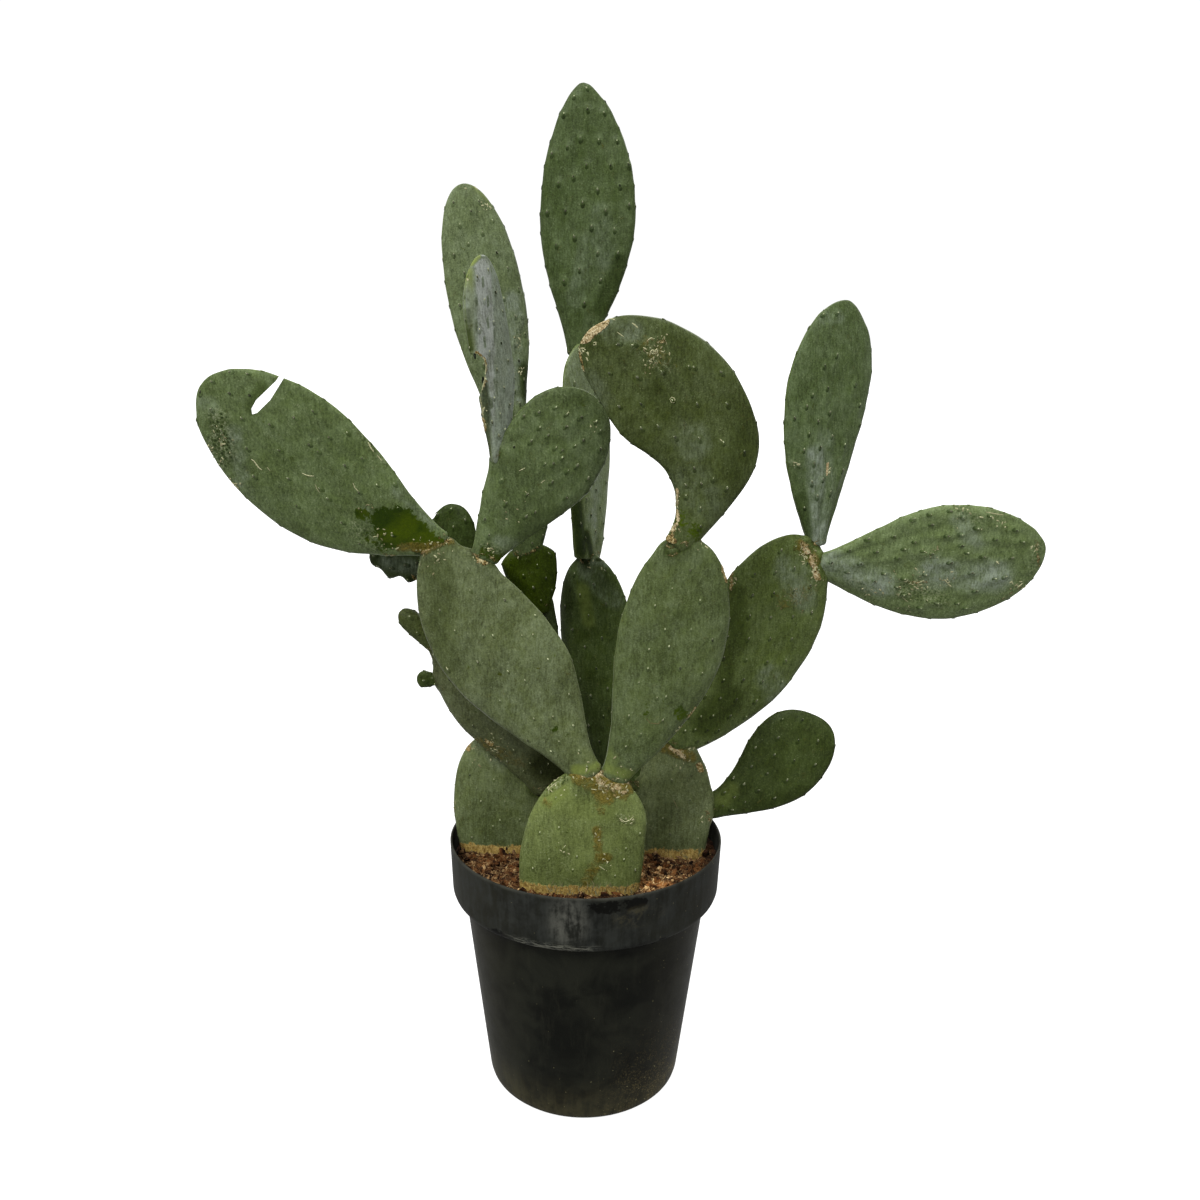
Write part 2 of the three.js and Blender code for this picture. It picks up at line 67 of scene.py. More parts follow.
# at: foot centre. lean, back, turn: its tilt and twist. relief: height of the raised areoles.
# ribs: depth of the folds that fan out from the foot. net: distance between areoles.
# tone: light or dark. red, blue: their share of green. bloom: waxy grey. pale: share of pale areoles.
# cut: outline of a notch.
PADS = [
    dict(name="base_front", at=(-4, -72, 190), lean=1, back=-2, length=171, width=118, thick=26, foot=90,
         widest=0.53, taper=1, tip=1.07, skew=0.15, square=2.1, relief=0.3, net=27, tone=0.53, red=0.8,
         blue=0.26, pale=0.7),
    dict(name="base_left", at=(-77, 4, 190), lean=-3, back=3, length=174, width=102, thick=24, foot=74,
         widest=0.57, taper=1.4, tip=0.95, skew=0.04, square=2.3, relief=0.3, net=26, tone=0.36, red=0.79,
         blue=0.26, bloom=0.2, pale=0.7),
    dict(name="base_right", at=(64, 2, 190), lean=7.5, back=4, turn=-6, length=172, width=99, thick=24,
         foot=90, widest=0.52, relief=0.4, net=25, tone=0.43, red=0.83, blue=0.33, bloom=0.2, pale=0.5),
    dict(name="front_left", at=(1.5, -77, 357), lean=-33.3, back=4, turn=-5, length=258, width=109,
         thick=20, foot=30, widest=0.52, taper=1.7, tip=1.37, bend=10, skew=-0.07, root=4, relief=0.4,
         net=27, tone=0.36, red=0.8, blue=0.28, bloom=0.26, pale=0.9),
    dict(name="front_right", at=(26.5, -77, 356), lean=14.1, back=-3, turn=6, length=235, width=97,
         thick=20, foot=27, widest=0.61, taper=1.3, tip=0.93, bend=-31, root=4, relief=0.5, net=24,
         tone=0.34, red=0.74, blue=0.24, bloom=0.2, pale=0.7),
    dict(name="far_left", at=(-132, -60, 567), lean=-53, back=-6, turn=-12, length=240, width=123, tip=1.06,
         bend=27, skew=0.05, root=4, net=26, tone=0.45, red=0.7, blue=0.26, bloom=0.22, pale=0.15,
         cut=((60, 187.3), (38, 186.3), (19, 185.8), (2, 188.8), (-2, 191.5), (2, 194.5), (11, 195.2),
              (36, 190.4), (60, 190.4))),
    dict(name="centre_left", at=(-91, -64, 558), lean=36.5, back=6, turn=10, length=169.5, width=92,
         widest=0.67, tip=1.06, bend=18, skew=-0.04, root=4, relief=0.9, net=20, tone=0.35, red=0.7,
         blue=0.26, bloom=0.2),
    dict(name="curved", at=(77.5, -90, 574), lean=-28, back=-4, turn=9, length=228, width=108, widest=0.51,
         taper=2.3, tip=1.05, bend=-126, skew=-0.11, root=2.5, relief=0.9, net=26, tone=0.221, red=0.735,
         blue=0.145, bloom=0.13, pale=0.15),
    dict(name="right", at=(91, 11, 352), lean=29, back=7, turn=12, length=242, width=119, thick=18,
         widest=0.58, taper=1, tip=1.08, bend=-26, root=5, relief=1, net=23, tone=0.363, red=0.716,
         blue=0.151, bloom=0.15, pale=0.2),
    dict(name="upper_right", at=(223, 47, 553), lean=5.5, back=6, turn=25, length=233, width=94, foot=20,
         widest=0.64, taper=1.03, tip=1.2, bend=22, trail=1.6, root=4, skew=0.04, relief=1.5, ribs=1.3,
         net=19, tone=0.33, red=0.66, blue=0.23, bloom=0.22),
    dict(name="far_right", at=(226, 46, 529), lean=82, back=-9, turn=12, length=214, width=120, widest=0.57,
         taper=1.26, tip=1.17, bend=-21, trail=1.8, relief=1.8, ribs=1.5, net=22, tone=0.53, red=0.72,
         blue=0.3, bloom=0.22),
    dict(name="low_right", at=(126.5, 6, 290), lean=45.5, back=4, turn=-12, length=140, width=81, thick=13,
         widest=0.67, taper=1.6, tip=0.74, bend=-49, net=21, tone=0.16, red=0.67, blue=0.13, bloom=0.05,
         pale=0.1),
    dict(name="back_centre", at=(34, 14, 308), lean=-9.5, back=9, turn=-25, length=232, width=83,
         widest=0.6, tip=0.83, foot=46, relief=0.6, net=24, tone=0.21, red=0.65, blue=0.12, pale=0.2),
    dict(name="back_narrow", at=(-2, 49, 535), lean=-2, back=5, turn=55, length=204, width=72, thick=15,
         foot=38, widest=0.8, taper=0.7, tip=0.97, bend=-13, root=3, relief=0.6, ribs=1.2, net=22,
         tone=0.56, red=0.76, blue=0.27, bloom=0.55, pale=0.2),
    dict(name="top", at=(-14, 68, 731), lean=0.5, back=3, turn=-14, length=243, width=92, thick=14, foot=20,
         widest=0.51, taper=1.15, tip=1.35, bend=-14, trail=1.25, root=4, relief=1.7, ribs=0.6, net=21,
         tone=0.269, red=0.655, blue=0.212, bloom=0.15, pale=0.5),
    dict(name="left_back", at=(-36, -2, 316), lean=-25.5, back=-5, turn=-6, length=205, width=112, thick=18,
         foot=44, widest=0.56, taper=1.55, tip=1.03, relief=0.4, net=24, tone=0.3, red=0.86, blue=0.31,
         bloom=0.2, pale=0.4),
    dict(name="left_stem", at=(-74, 12, 352), lean=6.5, back=8, turn=14, length=165, width=72, thick=18,
         widest=0.47, taper=1.4, relief=0.4, net=24, tone=0.22, red=0.68, blue=0.2, pale=0.2),
    dict(name="square", at=(-49, 26, 489), lean=-11.5, back=2, turn=8, length=58, width=53, thick=14,
         foot=22, widest=0.8, taper=0.8, square=2.2, net=17, tone=0.185, red=0.63, blue=0.04, bloom=0),
    dict(name="link", at=(-59, 28, 543), lean=-9.5, back=9, turn=18, length=75, width=52, thick=14, foot=28,
         tip=0.9, net=18, tone=0.28, red=0.69, blue=0.24),
    dict(name="tall_back", at=(-70.3, 39, 613), lean=-10.5, back=4, turn=30, length=274, width=78, thick=15,
         widest=0.62, taper=2.2, tip=0.97, bend=-5, relief=0.7, ribs=0.6, net=20, tone=0.58, red=0.76,
         blue=0.37, bloom=0.3),
    dict(name="grey_narrow", at=(-77, -61, 648), lean=-5, back=5, turn=55, length=167, width=55, thick=13,
         widest=0.57, taper=1.8, tip=1.06, bend=6, skew=-0.15, relief=0.6, ribs=0.6, net=19, tone=0.62,
         red=0.86, blue=0.62, bloom=1.15,
         cut=((-40, 36), (-26, 44), (-17, 54), (-12, 64), (-9, 74), (-11, 81), (-20, 85), (-40, 86))),
    dict(name="hidden_top", at=(-137, -20, 496), lean=8, back=4, turn=-8, length=100, width=52, thick=13,
         widest=0.48, tip=0.88, relief=0.9, net=17, tone=0.16, red=0.61, blue=0.1, bloom=0.05, pale=0.2,
         cut=((-40, 79), (-22, 81), (-19, 84), (-17, 88), (-17, 92), (-14, 96), (-15, 114), (-40, 114))),
    dict(name="crest", at=(-155, -8, 533), lean=-76, length=52, width=31, thick=13, foot=20, widest=0.3,
         square=2.1, lobes=0.16, relief=0.9, net=14, tone=0.15, red=0.61, blue=0.1, bloom=0.05, pale=0.2),
    dict(name="bud_left", at=(-146.5, -14, 461), lean=-43, turn=20, length=44, width=20, thick=11, foot=16,
         widest=0.65, net=12, tone=0.22, red=0.78, blue=0.18),
    dict(name="tiny_bud", at=(-145, -10, 423.5), lean=-85, length=19, width=17, thick=8, foot=9,
         widest=0.62, net=9, tone=0.2, red=0.68, blue=0.2, bloom=0, pale=0.2),
]
PAD_DEFAULTS = dict(back=0, turn=0, thick=16, foot=26, widest=0.55, taper=1.2, tip=1, skew=0, square=2,
                    bend=0, lobes=0, ribs=0, trail=1, root=ROOT, relief=0.8, bloom=0.1, pale=0.3, cut=())
EVERY_PAD = [{**PAD_DEFAULTS, **pad} for pad in PADS]
BY_NAME = {pad["name"]: pad for pad in EVERY_PAD}

# parent pad -> the pads that grow from it
JOINTS = {
    "base_front": ("front_left", "front_right"),
    "base_left": ("left_back", "left_stem"),
    "base_right": ("right", "low_right", "back_centre"),
    "front_left": ("far_left", "centre_left"),
    "front_right": ("curved",),
    "centre_left": ("grey_narrow",),
    "right": ("upper_right", "far_right"),
    "back_centre": ("back_narrow",),
    "back_narrow": ("top",),
    "left_back": ("hidden_top", "bud_left", "tiny_bud"),
    "left_stem": ("square",),
    "square": ("link",),
    "link": ("tall_back",),
    "hidden_top": ("crest",),
}

# Marks on the side that the photograph shows, for each kind and pad: two ends in its pixels, the
# radius in mm and the strength.
MARKS = {
    "cork": {
        "curved": [
            (578, 347, 584, 371, 1.5, 0.8), (667, 538, 674, 541, 3, 1), (675, 528, 672, 536, 2.4, 0.8),
            (648, 340, 664, 342, 3, 0.62)],
        "base_right": [(699, 765, 701, 769, 4, 1), (707, 812, 711, 824, 3, 0.7)],
        "base_left": [(468, 745, 468, 748, 4, 1), (453, 803, 454, 815, 3, 0.6)],
        "left_back": [(487, 741, 491, 744, 3.2, 0.9)],
        "right": [
            (803, 545, 815, 560, 5, 0.75), (811, 560, 818, 579, 4, 0.8), (731, 572, 731, 588, 3, 0.8)],
        "front_right": [
            (728, 565, 729, 580, 3, 0.9), (690, 718, 695, 708, 2.6, 0.9), (677, 731, 677, 731, 1.6, 0.9)],
        "front_left": [(479, 560, 485, 562, 3.6, 0.9), (425, 552, 450, 540, 2.6, 0.8)],
        "far_left": [(422, 553, 448, 541, 2.4, 0.9), (383, 554, 395, 556, 1.6, 0.7)],
        "far_right": [
            (909, 582, 928, 582, 2.6, 0.66), (1036, 541, 1039, 566, 2.2, 0.7),
            (1000, 600, 1022, 586, 2, 0.62)],
        "base_front": [(611, 783, 615, 795, 2.2, 0.7)],
        "grey_narrow": [
            (483, 420, 484, 430, 3, 0.9), (477, 353, 484, 360, 2.2, 0.8), (485, 360, 485, 370, 2.4, 0.85),
            (484, 372, 481, 384, 2, 0.75), (480, 386, 482, 400, 1.6, 0.6)],
        "square": [(516, 549, 524, 548, 2.5, 0.8)],
        "crest": [(412, 575, 417, 581, 2.2, 0.8)],
    },
    "callus": {
        "curved": [
            (584, 337, 602, 319, 6.2, 1), (677, 490, 677, 504, 2, 0.9), (677, 511, 678, 520, 2.4, 0.9),
            (676, 525, 672, 530, 2.2, 1)],
        "right": [(803, 548, 812, 556, 3, 0.74), (812, 562, 816, 577, 2.2, 0.95)],
        "upper_right": [(828, 463, 827, 474, 1.5, 1)],
        "base_right": [(671, 748, 684, 757, 3.4, 0.72), (717, 764, 719, 768, 3.4, 0.8)],
        "base_front": [
            (576, 772, 596, 769, 2.6, 0.66), (590, 771, 626, 781, 5, 0.7), (600, 780, 605, 791, 5.2, 0.64),
            (617, 786, 624, 792, 4.6, 0.66)],
    },
    "stain": {
        "base_front": [
            (575, 773, 600, 776, 6, 1), (600, 778, 628, 785, 9, 1), (599, 790, 606, 797, 8, 0.95),
            (618, 794, 624, 796, 5, 0.8), (598, 804, 602, 812, 4, 0.5), (597, 830, 598, 848, 4.5, 0.8),
            (600, 856, 608, 858, 4.5, 0.95), (598, 862, 586, 882, 5.5, 0.65),
            (545, 801, 549, 804, 3.6, 0.6), (580, 778, 600, 784, 7, 0.7)],
        "base_right": [(666, 748, 692, 757, 6, 0.8)],
        "curved": [(648, 345, 662, 362, 8, 0.32)],
        "right": [(800, 545, 815, 560, 6, 0.7), (786, 600, 806, 592, 11, 0.35)],
        "far_left": [(402, 548, 436, 546, 5, 0.8)],
        "front_left": [(425, 552, 452, 541, 3, 0.8)],
        "left_back": [(470, 745, 520, 762, 8, 0.4)],
    },
    "wet": {
        "far_left": [
            (385, 520, 390, 538, 12, 1), (400, 522, 422, 542, 14, 1), (420, 540, 438, 544, 7, 0.9),
            (360, 514, 372, 520, 6, 0.6), (370, 536, 384, 546, 8, 0.6)],
        "front_right": [(680, 712, 684, 718, 6, 0.5), (645, 707, 646, 712, 4, 0.45)],
        "front_left": [(556, 730, 563, 733, 5, 0.4)],
        "curved": [(682, 520, 696, 534, 9, 0.5)],
        "centre_left": [(484, 552, 500, 556, 6, 0.6)],
    },
    "scab": {
        "far_left": [
            (218, 418, 226, 452, 9, 1), (213, 440, 222, 462, 7, 0.9), (360, 430, 384, 462, 4, 0.5),
            (355, 528, 372, 545, 8, 0.6)],
        "far_right": [
            (905, 590, 940, 600, 9, 0.7), (960, 512, 976, 520, 6, 0.6), (1030, 570, 1038, 548, 5, 0.6),
            (850, 580, 866, 588, 5, 0.5)],
        "base_front": [(545, 793, 572, 774, 3.4, 1), (618, 816, 632, 822, 3, 0.6)],
        "curved": [(640, 345, 665, 365, 8, 0.5)],
        "upper_right": [(792, 463, 798, 466, 3, 0.8)],
        "centre_left": [(484, 545, 500, 552, 4, 0.6)],
        "tall_back": [(522, 318, 515, 345, 3, 0.6)],
    },
    # painted shade where neighbouring pads or a pad's own turn shade its skin, and a few real dark dashes on
    # grey_narrow
    "painted_shade_and_dark_dashes": {
        "back_narrow": [(577, 505, 582, 551, 7, 1), (586, 534, 591, 553, 4.6, 1)],
        "right": [
            (708, 722, 730, 700, 15, 0.55), (736, 596, 738, 640, 10, 0.5), (728, 650, 724, 690, 8, 0.45)],
        "back_centre": [(577, 560, 600, 560, 1.7, 0.9)],
        "curved": [(655, 396, 668, 410, 10, 0.2), (735, 470, 745, 430, 10, 0.25)],
        "top": [(600, 310, 620, 262, 7, 0.45)],
        "tall_back": [(524, 370, 527, 395, 7, 0.8)],
        "grey_narrow": [
            (467, 312, 470, 349, 3.2, 0.4), (468, 330, 470.5, 349, 3.2, 0.85),
            (477, 297, 477, 305, 0.9, 0.7), (488, 296, 488, 306, 0.9, 0.6), (476, 322, 477, 331, 0.9, 0.7),
            (487, 318, 488, 328, 0.9, 0.5), (484, 338, 485, 346, 0.9, 0.5), (483, 278, 483, 286, 0.8, 0.5),
            (494, 330, 496, 342, 0.9, 0.4), (490, 398, 492, 408, 1, 0.6), (495, 380, 498, 396, 1, 0.4),
            (480, 258, 490, 255, 0.9, 0.4), (484, 385, 487, 455, 3.2, 0.8)],
        "left_back": [(545, 765, 575, 776, 16, 0.6)],
        "front_left": [(438, 568, 446, 662, 13, 0.32)],
        "square": [(505, 575, 520, 590, 8, 0.6)],
        "centre_left": [(520, 530, 560, 515, 9, 0.25)],
        "far_left": [(262, 390, 252, 408, 6, 0.5), (216, 425, 224, 455, 9, 0.3)],
        "upper_right": [(800, 500, 806, 535, 7, 0.4)],
        "base_right": [(668, 780, 660, 860, 8, 0.2)],
        "low_right": [(760, 806, 812, 800, 9, 0.3)],
        "base_front": [(617, 815, 622, 862, 10, 0.1)],
        "crest": [(455, 540, 470, 545, 10, 0.4)],
    },
    # grey wax; in the middles of far_right and top it is partly a painted sheen
    "bloom": {
        "far_left": [
            (234, 432, 242, 476, 7, 0.8), (240, 480, 250, 492, 6, 0.7), (400, 490, 436, 520, 7, 0.7),
            (368, 514, 378, 524, 6, 0.7), (205, 403, 212, 405, 6, 0.5)],
        "curved": [
            (602, 328, 608, 322, 5, 1), (690, 480, 706, 500, 16, 0.25), (612, 332, 632, 330, 9, 0.55),
            (690, 436, 694, 446, 13, 0.45), (590, 380, 604, 400, 8, 0.3)],
        "right": [
            (796, 572, 806, 590, 12, 0.6), (786, 566, 806, 600, 12, 0.9), (768, 676, 780, 700, 12, 0.9)],
        "far_right": [
            (935, 572, 995, 578, 16, 1.5), (832, 562, 884, 586, 13, 1.4), (960, 520, 975, 545, 8, 0.7)],
        "upper_right": [
            (817, 486, 819, 522, 2, 1), (825, 440, 828, 500, 9, 0.45), (824, 318, 840, 316, 6, 0.5),
            (816, 456, 820, 540, 10, 1.6)],
        "top": [(600, 215, 606, 260, 10, 0.35), (575, 300, 590, 240, 9, 0.3)],
        "base_left": [(480, 740, 500, 760, 9, 0.4)],
        "back_centre": [(585, 570, 615, 600, 9, 0.5), (588, 561, 606, 563, 4, 0.9)],
        "tall_back": [(520, 315, 515, 345, 6, 0.7), (512, 300, 518, 395, 8, 1.3)],
        "back_narrow": [(600, 430, 592, 540, 8, 0.6)],
        "front_left": [(490, 670, 540, 715, 12, 0.12)],
        "grey_narrow": [(481, 262, 488, 352, 9, 1), (490, 360, 488, 440, 5, 0.6)],
        "centre_left": [(500, 540, 512, 545, 6, 0.5)],
        "square": [(512, 550, 530, 549, 4, 0.6)],
        "crest": [(386, 562, 430, 570, 7, 0.9)],
    },
    # yellower young skin, mostly at feet; along grey_narrow's upper left rim a painted highlight
    "fresh_green_and_painted_light": {
        "front_left": [(576, 770, 600, 766, 5, 0.8), (585, 754, 590, 758, 7, 0.12)],
        "front_right": [(608, 767, 630, 775, 5, 0.55), (608, 753, 612, 760, 6, 0.3)],
        "grey_narrow": [(467, 270, 468.5, 350, 4.4, 0.85), (469, 262, 478, 254, 2.4, 1)],
        "base_front": [(548, 800, 560, 792, 8, 0.5), (560, 804, 606, 812, 10, 0.22)],
        "tall_back": [(475, 184, 500, 196, 4, 0.4)],
        "back_centre": [(583, 590, 588, 620, 7, 0.4)],
        "low_right": [(722, 800, 730, 790, 8, 0.3)],
    },
}

# Areoles that the photograph shows, in its pixels. A pale one has a third number.
AREOLES = {
    "far_left": [
        (230, 393), (212, 409), (242, 418), (248, 374), (211, 380), (230, 372), (200, 391), (198, 420),
        (294, 417), (270, 424), (313, 411), (309, 444), (329, 437), (280, 450), (247, 448), (318, 451),
        (345, 465), (254, 476), (289, 478), (297, 505), (328, 498), (347, 432, 1), (362, 458), (359, 492),
        (377, 484, 1), (394, 483, 1), (342, 522), (360, 543), (393, 535), (398, 507, 1), (250, 395),
        (222, 430), (320, 488)],
    "centre_left": [
        (540, 427, 1), (539, 412), (524, 416), (567, 414, 1), (566, 426), (581, 417), (596, 421, 1),
        (600, 430, 1), (548, 435), (531, 441), (514, 447), (562, 450), (562, 457, 1), (575, 445, 1),
        (556, 447, 1), (600, 449), (545, 463, 1), (553, 463), (577, 465), (568, 470, 1), (502, 479, 1),
        (552, 482), (566, 497), (590, 492), (527, 494), (506, 503), (526, 516), (535, 512), (485, 519),
        (583, 440), (556, 407, 1), (588, 478), (489, 535)],
    "curved": [
        (618, 344), (609, 373), (637, 377), (641, 404), (619, 406), (658, 426), (641, 428), (675, 437),
        (699, 438), (697, 404), (727, 404), (720, 372), (723, 442, 1), (744, 452), (694, 468), (686, 485),
        (701, 484), (727, 488), (713, 478, 1), (700, 507, 1), (700, 526), (632, 345, 1), (688, 366, 1),
        (693, 367, 1), (661, 371, 1), (672, 400, 1), (686, 495, 1)],
    "top": [
        (587, 89, 1), (575, 97, 1), (588, 110), (565, 114, 1), (604, 113, 1), (581, 138), (599, 140, 1),
        (617, 141, 1), (568, 147), (553, 154), (587, 165), (611, 166), (628, 165), (574, 177), (559, 183),
        (598, 190), (620, 186), (583, 203), (548, 212), (566, 211), (606, 211), (629, 205), (592, 227),
        (615, 230), (575, 237), (557, 245), (598, 253), (618, 253), (580, 270), (565, 281), (601, 280),
        (585, 303)],
    "far_right": [
        (832, 562), (850, 550), (869, 539), (877, 551), (861, 563), (848, 572), (894, 536), (899, 557),
        (915, 541), (914, 519), (875, 580), (905, 548, 1), (924, 550, 1), (932, 553), (932, 524),
        (931, 514, 1), (948, 535), (951, 511), (962, 545), (963, 517, 1), (962, 534, 1), (978, 528, 1),
        (984, 556), (968, 552, 1), (951, 562), (972, 572), (976, 590), (996, 539), (1012, 557), (1016, 530),
        (1023, 541, 1), (1005, 576), (995, 577, 1), (958, 602, 1), (966, 607, 1), (926, 574, 1),
        (938, 602, 1), (921, 607, 1), (904, 594, 1), (897, 586, 1), (990, 516, 1), (885, 573, 1),
        (905, 578, 1)],
    "upper_right": [
        (837, 313, 1), (823, 315, 1), (812, 394, 1), (806, 406), (827, 388), (829, 412), (859, 404, 1),
        (817, 421), (794, 418), (808, 433, 1), (831, 436), (844, 444, 1), (819, 447), (803, 450),
        (813, 463), (841, 470), (822, 479), (811, 482), (816, 496), (829, 492), (804, 507, 1), (854, 384),
        (859, 424), (836, 355), (824, 366)],
    "front_left": [
        (483, 635, 1), (493, 635, 1), (522, 635, 1), (533, 634, 1), (448, 669, 1), (508, 671, 1),
        (525, 680, 1), (569, 694, 1), (500, 700, 1), (573, 725, 1), (534, 718, 1), (553, 716, 1),
        (528, 740), (559, 741, 1), (551, 751, 1), (579, 750, 1), (587, 766, 1), (433, 656), (548, 659, 1),
        (440, 610), (470, 590, 1), (505, 600), (535, 615, 1), (455, 630, 1), (478, 662)],
    "front_right": [
        (665, 629, 1), (691, 629, 1), (669, 646, 1), (649, 649, 1), (639, 682, 1), (666, 696, 1),
        (629, 715, 1), (626, 746, 1), (641, 733, 1), (657, 697, 1), (662, 720), (700, 600, 1),
        (672, 588, 1), (690, 570), (655, 605, 1), (712, 640), (702, 672, 1), (680, 668), (648, 668, 1)],
    "base_front": [
        (576, 795, 1), (556, 797, 1), (559, 827, 1), (540, 832, 1), (564, 847, 1), (549, 859, 1),
        (533, 868, 1), (573, 869, 1), (626, 848, 1), (577, 856, 1), (624, 859, 1), (615, 875, 1),
        (602, 868, 1), (594, 789, 1), (640, 833, 1), (635, 870)],
    "base_left": [
        (494, 779, 1), (505, 801, 1), (520, 819, 1), (481, 801, 1), (500, 820, 1), (493, 826, 1),
        (472, 837, 1), (470, 775)],
    "base_right": [(663, 818, 1), (670, 834), (646, 823, 1), (690, 800), (672, 780), (698, 838, 1)],
}

# Thin raised scars, in the photograph's pixels: width in mm, 0 brown to 1 pale, then the line.
SCARS = {
    "far_left": [
        (1.3, 1, (251, 459), (254, 461), (256, 464), (259, 468), (262, 470)),
        (0.7, 0.7, (267, 467), (270, 471)), (1, 1, (302, 473), (306, 475), (310, 476), (314, 476)),
        (0.8, 0.6, (315, 484), (317, 489), (320, 493)), (0.9, 0.8, (353, 483), (355, 488), (359, 492)),
        (1.2, 0.9, (368, 442), (371, 448), (374, 452)), (0.9, 0.8, (377, 455), (382, 461)),
        (0.8, 0.9, (373, 537), (378, 536))],
    "curved": [
        (1.2, 0.9, (606, 318), (611, 318), (615, 320)), (0.8, 0.8, (617, 332), (621, 335), (624, 337)),
        (1.2, 0.9, (632, 323), (635, 325), (638, 328)), (1.4, 0.8, (578, 347), (581, 353)),
        (1.2, 0.8, (586, 357), (588, 361)), (1.6, 0.7, (580, 366), (583, 369), (585, 372)),
        (1.4, 0.8, (647, 341), (651, 338), (655, 339)), (0.8, 0.6, (662, 337), (666, 341), (667, 345)),
        (0.9, 0.7, (650, 352), (653, 354), (658, 353)), (1, 0.9, (720, 439), (724, 443)),
        (0.9, 0.9, (670, 399), (672, 397), (675, 399), (674, 403), (671, 402), (670, 399)),
        (1, 0.8, (593, 343), (596, 342), (596, 345), (593, 345))],
    "centre_left": [
        (1.3, 1, (565, 415), (569, 412)), (1.1, 1, (594, 422), (598, 420)),
        (0.9, 0.8, (519, 471), (525, 468)), (0.7, 0.8, (541, 483), (545, 480)),
        (0.7, 0.7, (525, 491), (529, 496))],
    "far_right": [
        (1.8, 1, (996, 561), (999, 564)), (1.2, 0.9, (922, 549), (927, 553)),
        (1.6, 0.8, (918, 583), (925, 580)), (1.2, 0.6, (909, 583), (914, 585)),
        (1, 0.7, (945, 580), (950, 586)), (1.2, 0.9, (955, 508), (958, 509)),
        (1.2, 0.8, (1034, 545), (1037, 549), (1038, 555)), (1.6, 0.8, (1017, 588), (1023, 583)),
        (0.9, 0.7, (986, 512), (996, 514), (1004, 515)), (0.8, 0.6, (902, 597), (908, 602))],
    "upper_right": [(1, 0.7, (793, 462), (797, 463), (799, 466)), (0.8, 0.9, (807, 404), (807, 408))],
    "front_left": [(1.3, 0.9, (446, 667), (449, 671))],
    "front_right": [
        (0.8, 0.1, (646, 718), (650, 723), (658, 724), (663, 719)), (1.4, 0.7, (690, 716), (694, 709))],
    "base_front": [
        (0.9, 0.9, (619, 818), (625, 822), (630, 820), (633, 817)), (0.9, 0.9, (591, 789), (597, 790)),
        (1, 0.8, (599, 866), (605, 870)), (0.8, 0.9, (562, 849), (566, 845)),
        (1.2, 0.7, (548, 789), (557, 782))],
    "base_right": [(0.7, 0.2, (673, 799), (678, 809))],
    "tall_back": [
        (1.4, 1, (474, 186), (478, 190)), (1.2, 1, (481, 206), (484, 205)),
        (1.2, 1, (489, 206), (492, 209)), (1.4, 0.9, (464, 188), (467, 189))],
    "grey_narrow": [
        (1.6, 0.9, (467, 278), (468, 281)), (1.3, 0.75, (474, 354), (480, 358), (484, 366), (484, 374)),
        (1.2, 0.7, (484, 376), (481, 384), (480, 393)), (1.4, 0.5, (480, 396), (482, 408), (484, 420)),
        (2.2, 0.3, (484, 422), (485, 430))],
}

